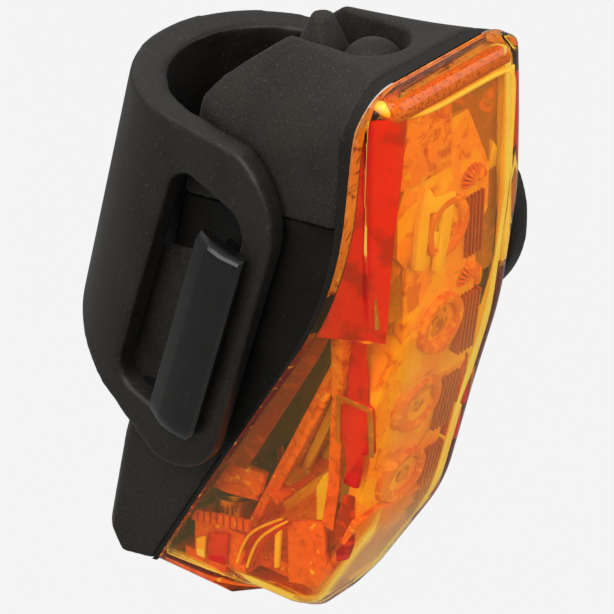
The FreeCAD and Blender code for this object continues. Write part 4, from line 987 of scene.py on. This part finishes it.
    def ring(self, level: float, inset: float) -> list[Point]:
        """Outline the form ahead of the parting line, from its left end to its right."""
        half = self.half_ring(level, inset)
        return [(-x, y, level) for x, y in half] + [(x, y, level) for x, y in half[-2::-1]]

    def under_roof(self, across: float, roof: float) -> float:
        """Keep a half width within the roof's, with a soft join six blends wide.

        Args:
            across: the half width of the sides.
            roof: the half width of the roof at the same level.

        Returns:
            The half width of the form.
        """
        gap = across - roof
        if gap <= -6 * self.roof_blend:
            return across
        return across - 0.5 * (gap + math.hypot(gap, self.roof_blend))


@dataclass
class Shell:
    """A thin wall along the outer form ahead of the parting line."""

    form: OuterForm
    outside: float = 0.0

    def skin(self, inset: float) -> tuple[list[Point], int, int]:
        """Give the points of one face of the wall, ring by ring.

        Args:
            inset: how far inside the outer form the face lies.

        Returns:
            The points, the number of rings and the points in each ring.
        """
        levels = self.form.levels(inset)
        points = [point for level in levels for point in self.form.ring(level, inset)]
        return points, len(levels), len(points) // len(levels)

    @staticmethod
    def faces(rings: int, wide: int, first: int) -> list[Face]:
        """List the faces of one skin, with its roof and its foot.

        Args:
            rings: number of rings.
            wide: points in each ring.
            first: number of the first point.

        Returns:
            Corner numbers of each face.
        """
        found = between_rows(rings, wide, first)
        for ring in (0, rings - 1):
            base = first + ring * wide
            for at in range(wide // 2):
                far = wide - 1 - at
                cap = (base + at, base + at + 1, base + far - 1, base + far)
                found.append(cap if far - at > 2 else cap[:2] + cap[3:])
        return found

    def build(self, name: str) -> bpy.types.Object:
        """Make the wall as one closed mesh.

        Args:
            name: the piece's name.

        Returns:
            The object.
        """
        outer, rings, wide = self.skin(self.outside)
        inner, _, _ = self.skin(self.form.wall)
        count = len(outer)
        faces = [*self.faces(rings, wide, 0), *self.faces(rings, wide, count),
                 *between_skins(rings, wide, count)]
        for base in (0, (rings - 1) * wide):
            faces.append((base, base + wide - 1, base + wide - 1 + count, base + count))
        return new_piece(name, outer + inner, faces, crease=ROUND_CREASE)


# Sub-assemblies


@dataclass
class EdgeBand:
    """The lens wall's end face at the parting line, with a painted glow that stands in for the
    light in the wall.
    """

    form: OuterForm
    outside: float = 0.04
    inside: float = 1.46
    ahead: float = 0.08
    behind: float = 0.08

    def outline(self, inset: float) -> list[Pair]:
        """Outline the form across the parting line.

        Args:
            inset: how far inside the outer form the outline lies.

        Returns:
            Points (across, level), round the form.
        """
        left = [(-self.form.half_ring(level, inset)[0][0], level)
                for level in self.form.levels(inset)]
        return left + [(-x, level) for x, level in reversed(left)]

    def build(self, name: str) -> bpy.types.Object:
        """Make the band as one closed mesh.

        Args:
            name: the piece's name.

        Returns:
            The object.
        """
        points: list[Point] = []
        for inset in (self.outside, self.inside):
            for step in (-self.ahead, self.behind):
                points += [(x, self.form.parting(level) + step, level)
                           for x, level in self.outline(inset)]
        count = len(points) // 4
        faces = []
        for at in range(count):
            after = (at + 1) % count
            for first, second in ((0, 1), (1, 3), (3, 2), (2, 0)):
                faces.append((first * count + at, first * count + after,
                              second * count + after, second * count + at))
        return new_piece(name, points, faces, crease=ROUND_CREASE)


@dataclass
class LensAssembly:
    """The clear lens and the rubber seal behind it."""

    form: OuterForm

    def build(self) -> None:
        """Make lens and seal."""
        lens = Shell(self.form).build("lens_shell")
        put(lens, LENS_AMBER, stands_for=["lens"])
        edge = EdgeBand(self.form).build("lens_edge")
        put(edge, EDGE_PAINTED_GLOW)
        dress_node("lens_seal", SEAL_RUBBER)


@dataclass
class Covers:
    """The rubber boots over the hard housing."""

    voxel: float = 0.3
    rounds: int = 14
    door_voxel: float = 0.2
    door_rounds: int = 4
    housing_flatten: float = 0.2
    housing_crease: float = 30.0
    flap: tuple[Pair, ...] = (
        (-3.0, 4.6), (2.6, 2.8), (4.2, 0.4), (8.4, -9.4), (9.2, -13.6), (6.0, -15.2),
        (-1.0, -14.0),
    )
    flap_inside: float = 9.7
    flap_outside: float = 10.9
    flap_rounding: float = 0.5

    def build(self) -> None:
        """Make boots, housing, saddle pad, port cover and the flaps of the saddle wings."""
        for node, slot in (("top_boot", "boot_rubber"), ("lower_boot", "boot_rubber"),
                           ("saddle_pad", "pad_rubber")):
            piece = softened(node, f"{node}_skin", self.voxel, self.rounds)
            put(piece, BOOT_RUBBER, stands_for=[node])
        housing = copied("rear_housing", "housing_shell", self.housing_flatten)
        shade(housing, self.housing_crease)
        put(housing, HOUSING_NYLON, stands_for=["rear_housing"])
        for side, label in SIDES:
            ends = sorted((side * self.flap_inside, side * self.flap_outside))
            flap = slab(f"wing_flap_{label}", self.flap, *ends, self.flap_rounding)
            put(flap, BOOT_RUBBER)
        door = softened("port_cover", "port_cover_skin", self.door_voxel, self.door_rounds)
        put(door, BOOT_RUBBER, Body.PORT_COVER, ["port_cover"])


@dataclass
class Fixing:
    """The strap and its faceted hooks."""

    voxel: float = 0.3
    rounds: int = 28
    tilt: float = 17.0
    root: float = 16.4
    middle: float = -8.1
    section: tuple[Pair, ...] = (
        (16.4, -11.2), (17.3, -11.4), (17.9, -11.2), (18.5, -9.4), (18.6, -9.0), (18.6, -7.3),
        (18.5, -6.9), (17.7, -5.1), (17.3, -4.9), (16.4, -5.0),
    )
    ends: tuple[Point, ...] = (
        (-13.6, 0.2, 0.62), (-13.45, 0.45, 0.76), (-13.1, 0.7, 0.88), (-12.4, 0.88, 0.96),
        (-11.4, 0.98, 1.0), (-10.6, 1.0, 1.0), (12.6, 1.0, 1.0), (13.1, 0.93, 0.99),
        (13.4, 0.8, 0.97), (13.6, 0.55, 0.94),
    )
    stem: tuple[Pair, Pair, Pair] = ((12.6, 16.6), (-9.0, -6.2), (-11.0, 11.0))
    crease: float = 24.0

    def build(self) -> None:
        """Make strap and hooks."""
        strap = softened("strap", "strap_loop", self.voxel, self.rounds)
        put(strap, STRAP_RUBBER, stands_for=["strap"])
        for side, label in SIDES:
            put(self.hook(side, f"{label}_hook"), HOOK_NYLON,
                stands_for=[f"{label}_strap_hook"])

    def tilted(self, across: float, ahead: float, level: float) -> Point:
        """Turn a point of an upright hook to the tilt of the seat post."""
        turn = math.radians(self.tilt)
        return (across, ahead * math.cos(turn) - level * math.sin(turn),
                ahead * math.sin(turn) + level * math.cos(turn))

    def hook(self, side: int, name: str) -> bpy.types.Object:
        """Make one hook: a faceted bar with a rounded foot on a flat stem.

        Args:
            side: -1 for the left, 1 for the right.
            name: the piece's name.

        Returns:
            The object.
        """
        points = []
        for level, depth, width in self.ends:
            for across, ahead in self.section:
                points.append(self.tilted(
                    side * (self.root + (across - self.root) * depth),
                    self.middle + (ahead - self.middle) * width, level))
        wide, rows = len(self.section), len(self.ends)
        faces = [tuple(range(wide)), tuple(range(len(points) - wide, len(points))),
                 *between_rows(rows, wide, closed=True)]
        first = len(points)
        points += [self.tilted(side * x, y, z) for x in self.stem[0] for y in self.stem[1]
                   for z in self.stem[2]]
        for face in ((0, 1, 3, 2), (4, 5, 7, 6), (0, 1, 5, 4), (2, 3, 7, 6), (0, 2, 6, 4),
                     (1, 3, 7, 5)):
            faces.append(tuple(first + corner for corner in face))
        return new_piece(name, points, faces, self.crease)


@dataclass
class Buttons:
    """The two rubber buttons in the top."""

    voxel: float = 0.22
    rounds: int = 6

    def build(self) -> None:
        """Make both buttons."""
        for name, body in (("rear_button", Body.REAR_BUTTON), ("front_button", Body.FRONT_BUTTON)):
            cap = softened(name, f"{name}_cap", self.voxel, self.rounds)
            put(cap, BOOT_RUBBER, body, [name])


@dataclass(frozen=True)
class Lamp:
    """Place of one lamp's optics on the front of the optic plate."""

    ahead: float
    level: float
    lean: float


@dataclass(frozen=True)
class Moulding:
    """A flat moulding: an outline, seen from one side, with a thickness and rounded edges."""

    name: str
    finish: Finish
    outline: tuple[Pair, ...]
    ends: Pair
    rounding: float
    view: View = View.SIDE

    def build(self) -> bpy.types.Object:
        """Make the moulding between its two ends."""
        make = slab if self.view is View.SIDE else plate
        return make(self.name, self.outline, *self.ends, self.rounding)

    def pair(self) -> list[bpy.types.Object]:
        """Make it on both sides of the light, with its ends given for the right."""
        return [slab(f"{self.name}_{label}", self.outline,
                     *sorted((side * self.ends[0], side * self.ends[1])), self.rounding)
                for side, label in SIDES]


@dataclass(frozen=True)
class CornerBand:
    """A band inside the lens that turns its left corner and narrows downwards.

    It covers the half ring's points from start to end, and less of them at its foot.
    """

    low: float
    high: float
    start: float
    end: float
    inset: float
    thickness: float
    narrowing: float = 0.22
    rows: int = 24
    wide: int = 12

    def build(self, form: OuterForm, name: str) -> bpy.types.Object:
        """Make the band as one closed mesh.

        Args:
            form: the outer form that it follows.
            name: the piece's name.

        Returns:
            The object.
        """
        points: list[Point] = []
        for depth in (self.inset, self.inset + self.thickness):
            for level in np.linspace(self.low, self.high, self.rows):
                half = form.half_ring(level, depth)
                share = 1 - (level - self.low) / (self.high - self.low)
                last = self.start + (self.end - self.start) * (1 - self.narrowing * share)
                for spot in np.linspace(self.start, last, self.wide):
                    at = min(int(spot), len(half) - 2)
                    (x0, y0), (x1, y1) = half[at:at + 2]
                    points.append((-x0 - (spot - at) * (x1 - x0), y0 + (spot - at) * (y1 - y0),
                                   level))
        count = self.rows * self.wide
        faces = [*between_rows(self.rows, self.wide), *between_rows(self.rows, self.wide, count),
                 *between_skins(self.rows, self.wide, count)]
        for base in (0, count - self.wide):
            faces += [(at, at + 1, at + 1 + count, at + count)
                      for at in range(base, base + self.wide - 1)]
        return new_piece(name, points, faces, crease=ROUND_CREASE)


@dataclass
class LampOptics:
    """The ring, the rippled lens, the fan and the ribs of one lamp."""

    ring_outer: float = 3.7
    ring_inner: float = 2.6
    ring_depth: float = 2.4
    bore_steps: int = 8
    bore_pitch: float = 0.3
    bore_slope: float = 0.16
    bore_ripple: float = 0.12
    eye: tuple[Pair, ...] = (
        (0.0, -0.3), (1.0, -0.4), (1.7, -0.62), (2.5, -0.95), (2.3, -1.3), (0.0, -1.3),
    )
    blade: tuple[Point, ...] = (
        (0.5, -0.14, -1.4), (2.3, -0.14, -1.4), (1.955, -0.14, 0.1), (0.5, -0.14, 0.3),
    )
    blade_thickness: float = 0.28
    blade_count: int = 11
    blade_turn: float = 17.0
    fan_turn: float = 10.0
    fan_place: Point = (4.6, 0.0, 3.6)
    rib: tuple[Point, ...] = (
        (-0.2, -3.8, -1.6), (0.2, -3.8, -1.6), (0.14, -3.8, 0.0), (-0.14, -3.8, 0.0),
    )
    rib_length: float = 7.6
    rib_count: int = 5
    rib_step: float = 0.62
    rib_place: Point = (3.7, 0.2, -1.8)

    def build(self, number: int, lamp: Lamp) -> None:
        """Make and dress the optics of one lamp.

        Args:
            number: the lamp's number from the top.
            lamp: its place.
        """
        names = [f"lamp_{part}_{number}" for part in ("ring", "eye", "fan", "ribs")]
        ring, eye = revolved(names[0], self.ring_profile()), revolved(names[1], self.eye)
        blade = extruded("blade", self.blade, (0, self.blade_thickness, 0), rounding=0.06)
        fan = repeated(names[2], blade, self.blade_count, (0, 0, 0), self.blade_turn,
                       RING_ORANGE)
        rib = extruded("rib", self.rib, (0, self.rib_length, 0), rounding=0.08)
        ribs = repeated(names[3], rib, self.rib_count, (self.rib_step, 0, 0), 0.0, RIB_VIOLET)
        for piece, finish, (across, back, up), turn in (
                (ring, RING_ORANGE, (0.0, 0.0, 0.0), 0.0), (eye, EYE_YELLOW, (0.0, 0.0, 0.0), 0.0),
                (fan, RING_ORANGE, self.fan_place, self.fan_turn),
                (ribs, RIB_VIOLET, self.rib_place, 0.0)):
            place = (across, lamp.ahead + back, lamp.level + up)
            put(facing(piece, place, lamp.lean, turn), finish)

    def ring_profile(self) -> list[Pair]:
        """Give the ring's section as (radius, height): a stepped bore in a round collar."""
        bore = [(self.ring_inner - self.bore_slope * at - self.bore_ripple * (at % 2),
                 -self.bore_pitch * at) for at in range(self.bore_steps)]
        return [*bore, (self.ring_outer - 0.4, -self.ring_depth),
                (self.ring_outer, -self.ring_depth + 0.3), (self.ring_outer, -0.4),
                (self.ring_outer - 0.2, 0.0), (self.ring_inner + 0.2, 0.1)]


@dataclass
class SlantingWall:
    """Ribs, inlay and shelf on the wall that slants down behind the lamps."""

    top: Point = (0.0, -20.1, -5.6)
    slope: float = 0.4946
    out: Pair = (-0.896, -0.443)
    rib_rise: float = 0.9
    rib: tuple[Pair, ...] = ((5.5, -6.6), (4.4, -6.6), (1.2, -25.2), (2.6, -25.2))
    edge: tuple[Pair, ...] = ((8.0, -4.6), (7.4, -4.6), (6.6, -25.2), (7.2, -25.2))
    inlay: tuple[Pair, ...] = ((-4.4, -6.6), (4.4, -6.6), (1.2, -25.2), (-1.2, -25.2))
    inlay_depth: float = 0.1
    inlay_travel: Point = (0, -0.2, -0.1)
    shelf: tuple[Pair, ...] = ((-8.2, -24.4), (8.2, -24.4), (7.8, -25.4), (-7.8, -25.4))
    shelf_travel: Point = (0, -1.7, -0.85)
    rounding: float = 0.2

    def place(self, across: float, level: float, ahead: float = 0.0) -> Point:
        """Give a point on the wall's front face.

        Args:
            across: its X.
            level: its Z on the face.
            ahead: how far it stands off the face.

        Returns:
            The point.
        """
        _, y, z = self.top
        return (across, y + self.slope * (z - level) + self.out[0] * ahead,
                level + self.out[1] * ahead)

    def build(self) -> None:
        """Make and dress the wall's mouldings."""
        travel = (0.0, self.out[0] * self.rib_rise, self.out[1] * self.rib_rise)
        for side, label in SIDES:
            for name, line, finish, slot in (
                    ("wall_rib", self.rib, GUIDE_AND_GLOW_YELLOW, "guide_plastic"),
                    ("wall_edge", self.edge, CARRIER_ORANGE, "clear_optic")):
                outline = [self.place(side * x, z) for x, z in line]
                put(extruded(f"{name}_{label}", outline, travel, self.rounding), finish)
        inlay = [self.place(x, z, -self.inlay_depth) for x, z in self.inlay]
        put(extruded("wall_inlay", inlay, self.inlay_travel, rounding=0.0), INLAY_TAN)
        shelf = [self.place(x, z) for x, z in self.shelf]
        put(extruded("wall_shelf", shelf, self.shelf_travel, self.rounding), CARRIER_ORANGE)


@dataclass
class Interior:
    """What shows through the amber lens."""

    form: OuterForm
    lamps: tuple[Lamp, ...] = (
        Lamp(-28.4, 11.9, 2.0), Lamp(-27.8, -0.4, 8.0), Lamp(-24.8, -11.6, 13.0),
        Lamp(-22.7, -21.6, 13.0),
    )
    rail: CornerBand = CornerBand(1.0, 28.4, 0.5, 23.0, 1.58, 0.7)
    far_rail: CornerBand = CornerBand(3.0, 26.0, 4.0, 11.5, 1.8, 0.7)
    lining: CornerBand = CornerBand(-22.0, 2.0, 0.0, 3.2, 1.7, 0.3)
    both_sides: tuple[Moulding, ...] = (
        Moulding("red_column", RAIL_RED, (
            (-24.4, 0.4), (-24.5, -8.4), (-25.1, -8.6), (-24.9, -14.6), (-23.8, -14.9),
            (-23.4, -17.6), (-22.9, -19.8), (-21.3, -19.6), (-21.7, -17.4), (-21.4, -14.6),
            (-20.6, -14.2), (-20.8, -8.6), (-21.7, -8.2), (-21.9, 0.4)), (6.9, 7.7), 0.25),
        Moulding("red_panel", PANEL_RED, (
            (-21.4, -22.0), (-21.2, -27.0), (-20.2, -31.0), (-18.8, -31.4), (-19.2, -26.4),
            (-20.2, -22.2)), (5.7, 6.4), 0.25),
        Moulding("clip_edge", INLAY_TAN, (
            (-25.3, -8.3), (-25.3, -14.9), (-24.7, -14.9), (-24.7, -9.0), (-21.0, -9.0),
            (-21.0, -14.4), (-20.3, -14.4), (-20.3, -8.3)), (7.7, 7.9), 0.08),
    )
    mouldings: tuple[Moulding, ...] = (
        Moulding("side_box", CARRIER_ORANGE, (
            (-9.2, 10.6), (-3.4, 10.6), (-3.4, 7.4), (-9.2, 7.4)),
            (-26.9, -24.6), 0.3, View.FRONT),
        Moulding("side_arm", OPTIC_AMBER, (
            (-6.2, 7.2), (-3.6, 7.2), (-4.4, 0.4), (-6.2, 0.4)),
            (-26.4, -25.2), 0.25, View.FRONT),
        # Under the roof
        Moulding("brow_bar", BEZEL_BROWN, (
            (-29.2, 28.3), (-29.2, 29.2), (-28.6, 29.8), (-24.6, 29.8), (-24.6, 28.3)),
            (-9.3, 9.3), 0.3),
        Moulding("brow_plate", CARRIER_ORANGE, (
            (-7.2, 19.0), (-9.0, 24.0), (-9.2, 28.1), (0.6, 28.1), (0.6, 19.0)),
            (-28.15, -27.85), 0.1, View.FRONT),
        Moulding("brow_back", INLAY_TAN, (
            (-9.6, 3.0), (-9.8, 28.2), (9.8, 28.2), (9.6, 3.0)),
            (-27.3, -27.1), 0.05, View.FRONT),
        # Painted glow: a pale yellow flank that stands in for the light along the lens's right
        # inner edge
        Moulding("bright_flank", GUIDE_AND_GLOW_YELLOW, (
            (-28.6, 27.6), (-28.6, 19.0), (-28.2, 8.0), (-27.6, 8.0), (-26.9, 20.0),
            (-26.9, 27.6)), (9.5, 10.2), 0.25),
        # Beside the top lamp
        Moulding("pale_bracket", GUIDE_AND_GLOW_YELLOW, (
            (-4.5, 16.6), (-3.4, 18.0), (-2.3, 16.4), (1.2, 15.8), (0.0, 10.0), (-1.2, 6.9),
            (-2.5, 7.5), (-1.6, 11.0), (-1.1, 14.2), (-3.3, 14.9), (-4.1, 8.2), (-5.8, 9.0),
            (-5.3, 14.5)), (-28.5, -27.8), 0.2, View.FRONT),
        Moulding("pale_square", GUIDE_AND_GLOW_YELLOW, (
            (-3.3, 12.7), (-1.6, 12.0), (-2.0, 9.9), (-3.1, 10.7)),
            (-28.4, -27.8), 0.15, View.FRONT),
        # Round the lasers
        Moulding("chin_bar", GUIDE_AND_GLOW_YELLOW, (
            (0.8, -36.0), (-0.6, -35.2), (-0.5, -38.4), (0.8, -38.4)), (-7.1, -6.6), 0.2),
        Moulding("chin_block", RAIL_RED, (
            (-0.9, -34.7), (-4.0, -33.6), (-3.5, -38.2), (-0.9, -38.4)), (-7.0, -6.5), 0.2),
        Moulding("laser_hood", CARRIER_ORANGE, (
            (-0.2, -29.2), (-0.8, -27.4), (-2.4, -26.3), (-3.6, -27.3), (-5.2, -26.6),
            (-7.0, -27.0), (-7.6, -28.4), (-2.8, -29.2)), (-5.9, -5.2), 0.3),
        Moulding("tray_block", CARRIER_ORANGE, (
            (-9.4, -23.6), (-1.6, -23.6), (4.4, -32.6), (1.0, -32.0), (-0.6, -29.4),
            (-2.0, -26.4), (-3.4, -27.2), (-6.0, -26.4), (-8.4, -27.0)), (-6.9, -5.8), 0.4),
        Moulding("clear_dome", OPTIC_AMBER, (
            (-6.3, -24.2), (-6.1, -23.7), (-5.5, -23.25), (-4.4, -23.05), (-3.3, -23.25),
            (-2.7, -23.7), (-2.5, -24.2)), (-12.6, -11.0), 0.3, View.FRONT),
        Moulding("chin_pane", CARRIER_ORANGE, (
            (-11.4, -29.5), (-16.9, -27.3), (-17.4, -33.6), (-15.4, -36.6), (-11.7, -37.8)),
            (-5.6, -4.9), 0.34),
        Moulding("chin_strip", GUIDE_AND_GLOW_YELLOW, (
            (-10.3, -30.9), (-11.2, -30.5), (-10.9, -35.7), (-10.2, -36.1)),
            (-6.3, -5.8), 0.15),
    )
    # Painted glow: a pale yellow bead that stands in for the light along the inner edge of the
    # lens's roof and right side
    bright_edge: tuple[Point, ...] = (
        (-10.0, -26.6, 29.6), (-9.5, -27.6, 29.5), (-8.4, -28.5, 28.6), (-4.2, -28.8, 27.8),
        (2.0, -28.8, 27.8), (8.4, -28.8, 27.8), (9.9, -28.3, 26.6), (9.9, -28.3, 23.0),
        (9.6, -28.3, 15.0), (9.4, -28.1, 4.0),
    )
    painted_glow_radius: float = 0.48
    streak: tuple[Point, ...] = (
        (-5.7, -12.6, -29.3), (-6.6, -10.6, -31.4), (-6.7, -8.8, -34.6), (-6.3, -7.8, -37.4),
    )
    streak_count: int = 4
    streak_shift: float = 0.75
    streak_radius: float = 0.2
    tooth: tuple[Point, ...] = ((-0.35, 0, 0), (0.35, 0, 0), (0.28, 0, 1.5), (-0.28, 0, 1.5))
    tooth_length: float = 0.7
    tooth_count: int = 9
    tooth_step: Point = (0, -0.98, 0.2)
    first_tooth: Point = (-6.9, 0.6, -33.6)
    apron: tuple[Point, ...] = (
        (-6.6, -22.1, -24.9), (6.6, -22.1, -24.9), (6.3, -19.4, -30.4), (4.9, -14.6, -38.0),
        (-4.9, -14.6, -38.0), (-6.3, -19.4, -30.4),
    )
    apron_travel: Point = (0, 0.6, 0.3)
    floor_inset: float = 1.0
    floor_ahead: float = 0.05
    floor_rise: float = 0.3
    floor_thickness: float = 0.5
    foot_strip: tuple[Pair, ...] = ((-6.0, 5.4), (-7.2, 5.4), (-6.2, -2.6), (-4.6, -2.1))
    strip_rise: float = 1.7
    strip_thickness: float = 0.25

    def build(self) -> None:
        """Dress the inner nodes and add the moulded detail that the photograph shows."""
        self.dress_nodes()
        for number, lamp in enumerate(self.lamps, start=1):
            LampOptics().build(number, lamp)
        self.make_rails()
        for moulding in self.both_sides:
            for piece in moulding.pair():
                self.keep(piece, moulding.finish)
        for moulding in self.mouldings:
            self.keep(moulding.build(), moulding.finish)
        # The painted glow bead along the lens's inner edge
        self.keep(bead("bright_edge", self.bright_edge, self.painted_glow_radius), GUIDE_AND_GLOW_YELLOW)
        self.make_chin()
        SlantingWall().build()
        self.make_foot()

    def keep(self, piece: bpy.types.Object, finish: Finish) -> None:
        """Put an inner piece on the light with its finish."""
        put(piece, finish)

    def make_rails(self) -> None:
        """Make the red rails behind the lens's corners and the lining at the housing's edge."""
        self.keep(self.rail.build(self.form, "red_rail_left"), RAIL_RED)
        self.keep(mirrored(self.far_rail.build(self.form, "red_rail_right")), RAIL_RED)
        self.keep(self.lining.build(self.form, "lining_left"), LINING_RED)
        self.keep(mirrored(self.lining.build(self.form, "lining_right")), LINING_RED)

    def make_chin(self) -> None:
        """Make the teeth, the streaks and the lower end of the optic plate."""
        tooth = extruded("tooth", self.tooth, (0, self.tooth_length, 0), rounding=0.1)
        teeth = repeated("chin_teeth", tooth, self.tooth_count, self.tooth_step, 0.0,
                         CARRIER_ORANGE)
        teeth.data.transform(Matrix.Translation(Vector(self.first_tooth) * MM))
        self.keep(teeth, CARRIER_ORANGE)
        for number in range(1, self.streak_count + 1):
            shift = self.streak_shift * number
            first, *rest = self.streak
            line = [(first[0], first[1] + shift / 2, first[2]),
                    *((x, y + shift, z) for x, y, z in rest)]
            self.keep(bead(f"chin_streak_{number}", line, self.streak_radius),
                      RAIL_RED if number % 2 else GUIDE_AND_GLOW_YELLOW)
        apron = extruded("optic_apron", self.apron, self.apron_travel, rounding=0.2)
        self.keep(apron, CARRIER_ORANGE)

    def make_foot(self) -> None:
        """Make the floor inside the lens wall's foot and the bright strips on it."""
        foot = self.form.stations[0].level
        ring = [(x, y - self.floor_ahead, foot + self.floor_rise)
                for x, y, _ in self.form.ring(foot + self.form.foot_rise, self.floor_inset)]
        floor = extruded("foot_floor", ring, (0, 0, self.floor_thickness), rounding=0.0)
        self.keep(floor, CARRIER_ORANGE)
        for side, label in ((1, "left"), (-1, "right")):
            line = [(side * x, y, foot + self.strip_rise) for x, y in self.foot_strip]
            strip = extruded(f"foot_strip_{label}", line, (0, 0, self.strip_thickness),
                             rounding=0.08)
            self.keep(strip, GUIDE_AND_GLOW_YELLOW)

    def dress_nodes(self) -> None:
        """Give every inner CAD node its finish."""
        finishes = {
            CARRIER_ORANGE: ["optic_carrier", "laser_tray", "laser_shield"],
            OPTIC_OPAL: ["optic_plate"],
            OPTIC_AMBER: ["left_laser_lens", "right_laser_lens"],
            RING_ORANGE: ["left_round_optic", "right_round_optic"],
            GUIDE_AND_GLOW_YELLOW: ["left_light_guide", "right_light_guide", "rear_plunger",
                           "front_plunger"],
            BOARD_MASK: ["led_board", "button_board", "charge_board"],
            LAMP_CERAMIC: ["led_emitters"],
            CHIP_EPOXY: ["board_chips", "rear_switch", "front_switch", "battery_cradle",
                         "socket_tongue"],
            SCREW_STEEL: ["carrier_screws", "hook_screws", "charge_socket",
                          "left_laser_diode", "right_laser_diode"],
            BARREL_BRASS: ["left_laser_barrel", "right_laser_barrel"],
            CELL_FILM: ["battery_cell"],
            LEAD_RED: ["laser_leads", "battery_leads"],
            RIBBON_FILM: ["ribbon_cable"],
        }
        for finish, nodes in finishes.items():
            for node in nodes:
                dress_node(node, finish)


# Stage


@dataclass(frozen=True)
class SoftLamp:
    """A large square lamp: its direction in degrees, distance and width in metres, and watts."""

    name: str
    azimuth: float
    elevation: float
    distance: float
    width: float
    power: float


@dataclass
class Stage:
    """Pale floor, studio light and the camera at the photograph's angle."""

    azimuth: float = -50.0
    elevation: float = 30.0
    distance: float = 0.55
    target: Point = (0.0, -9.3, -5.4)
    lens_mm: float = 290.0
    sensor_mm: float = 36.0
    clip: Pair = (0.01, 20.0)
    floor_level: float = -120.0
    floor_half: float = 3000.0
    pale: str = "#f7f7f7"
    paper: str = "#6d6c69"
    seen_floor: float = 0.97
    mirrored_floor: float = 0.2
    world_light: float = 0.3
    mirrored_world: float = 0.06
    lamps: tuple[SoftLamp, ...] = (
        SoftLamp("key", -75.0, 50.0, 0.55, 0.6, 2.8),
        SoftLamp("fill", 30.0, 25.0, 0.6, 0.4, 0.8),
        SoftLamp("rim", 170.0, 55.0, 0.55, 0.9, 0.9),
    )

    def build(self) -> None:
        """Make floor, world, lamps and camera."""
        self.make_floor()
        self.make_world()
        for lamp in self.lamps:
            self.make_lamp(lamp)
        self.make_camera()

    def towards(self, azimuth: float, elevation: float) -> Vector:
        """Give the direction from the object to a place round it, in degrees."""
        turn, rise = math.radians(azimuth), math.radians(elevation)
        return Vector((math.sin(turn) * math.cos(rise), -math.cos(turn) * math.cos(rise),
                       math.sin(rise)))

    def seen_share(self, tree: bpy.types.NodeTree, full: float,
                   mirrored_share: float) -> bpy.types.NodeSocket:
        """Give the share of white that a ray sees: all of it straight or through glass.

        Args:
            tree: the node tree.
            full: the share for a ray from the camera or through glass.
            mirrored_share: what part of it a mirrored ray gets.

        Returns:
            The share, less for a mirrored ray and none for scattered light.
        """
        path = add(tree, "ShaderNodeLightPath")
        mirrored = add(tree, "ShaderNodeMath", {"operation": "MULTIPLY", 1: mirrored_share},
                       {0: path.outputs["Is Glossy Ray"]})
        straight = add(tree, "ShaderNodeMath", {"operation": "MAXIMUM"},
                       {0: path.outputs["Is Camera Ray"],
                        1: path.outputs["Is Transmission Ray"]})
        seen = add(tree, "ShaderNodeMath", {"operation": "MAXIMUM"},
                   {0: straight.outputs[0], 1: mirrored.outputs[0]})
        share = add(tree, "ShaderNodeMath", {"operation": "MULTIPLY", 1: full},
                    {0: seen.outputs[0]})
        return share.outputs[0]

    def make_floor(self) -> None:
        """Make a pale floor that keeps a soft shadow."""
        half, level = self.floor_half, self.floor_level
        corners = [(-half, -half, level), (half, -half, level), (half, half, level),
                   (-half, half, level)]
        floor = new_piece("floor", corners, [(0, 1, 2, 3)])
        material, tree, out = new_material("pale paper floor")
        paper = add(tree, "ShaderNodeBsdfDiffuse", {"Color": linear(self.paper)})
        glow = add(tree, "ShaderNodeEmission", {"Color": linear(self.pale), "Strength": 1.0})
        share = self.seen_share(tree, self.seen_floor, self.mirrored_floor)
        mix = add(tree, "ShaderNodeMixShader",
                  links={0: share, 1: paper.outputs["BSDF"], 2: glow.outputs["Emission"]})
        tree.links.new(mix.outputs["Shader"], out.inputs["Surface"])
        floor.data.materials.append(material)

    def make_world(self) -> None:
        """Make an even pale surrounding that lights softly."""
        world = bpy.data.worlds.new("studio")
        bpy.context.scene.world = world
        world.use_nodes = True
        tree = world.node_tree
        tree.nodes.clear()
        soft = add(tree, "ShaderNodeBackground",
                   {"Color": linear(self.pale), "Strength": self.world_light})
        bright = add(tree, "ShaderNodeBackground",
                     {"Color": linear(self.pale), "Strength": 1.0})
        mix = add(tree, "ShaderNodeMixShader",
                  links={0: self.seen_share(tree, 1.0, self.mirrored_world), 1: soft.outputs[0],
                         2: bright.outputs[0]})
        out = add(tree, "ShaderNodeOutputWorld")
        tree.links.new(mix.outputs["Shader"], out.inputs["Surface"])

    def make_lamp(self, lamp: SoftLamp) -> None:
        """Make one large soft lamp that points at the light.

        Args:
            lamp: its place, size and power.
        """
        data = bpy.data.lights.new(lamp.name, "AREA")
        data.shape = "SQUARE"
        data.size = lamp.width
        data.energy = lamp.power
        holder = linked(lamp.name, data)
        away = self.towards(lamp.azimuth, lamp.elevation)
        holder.location = away * lamp.distance
        holder.rotation_euler = (-away).to_track_quat("-Z", "Y").to_euler()

    def make_camera(self) -> None:
        """Make the camera and give it to the scene."""
        data = bpy.data.cameras.new("camera")
        data.lens = self.lens_mm
        data.sensor_width = self.sensor_mm
        data.clip_start, data.clip_end = self.clip
        camera = linked("camera", data)
        away = self.towards(self.azimuth, self.elevation)
        camera.location = Vector(self.target) * MM + away * self.distance
        camera.rotation_euler = (-away).to_track_quat("-Z", "Y").to_euler()
        bpy.context.scene.camera = camera


def main() -> None:
    """Build and dress every sub-assembly."""
    logging.basicConfig(level=logging.INFO, format="%(name)s: %(message)s")
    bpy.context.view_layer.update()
    bpy.context.scene.view_settings.view_transform = "Standard"
    Stage().build()
    form = OuterForm()
    for assembly in (LensAssembly(form), Interior(form), Covers(), Fixing(), Buttons()):
        LOG.info("building %s", type(assembly).__name__)
        assembly.build()


if __name__ == "__main__":
    main()
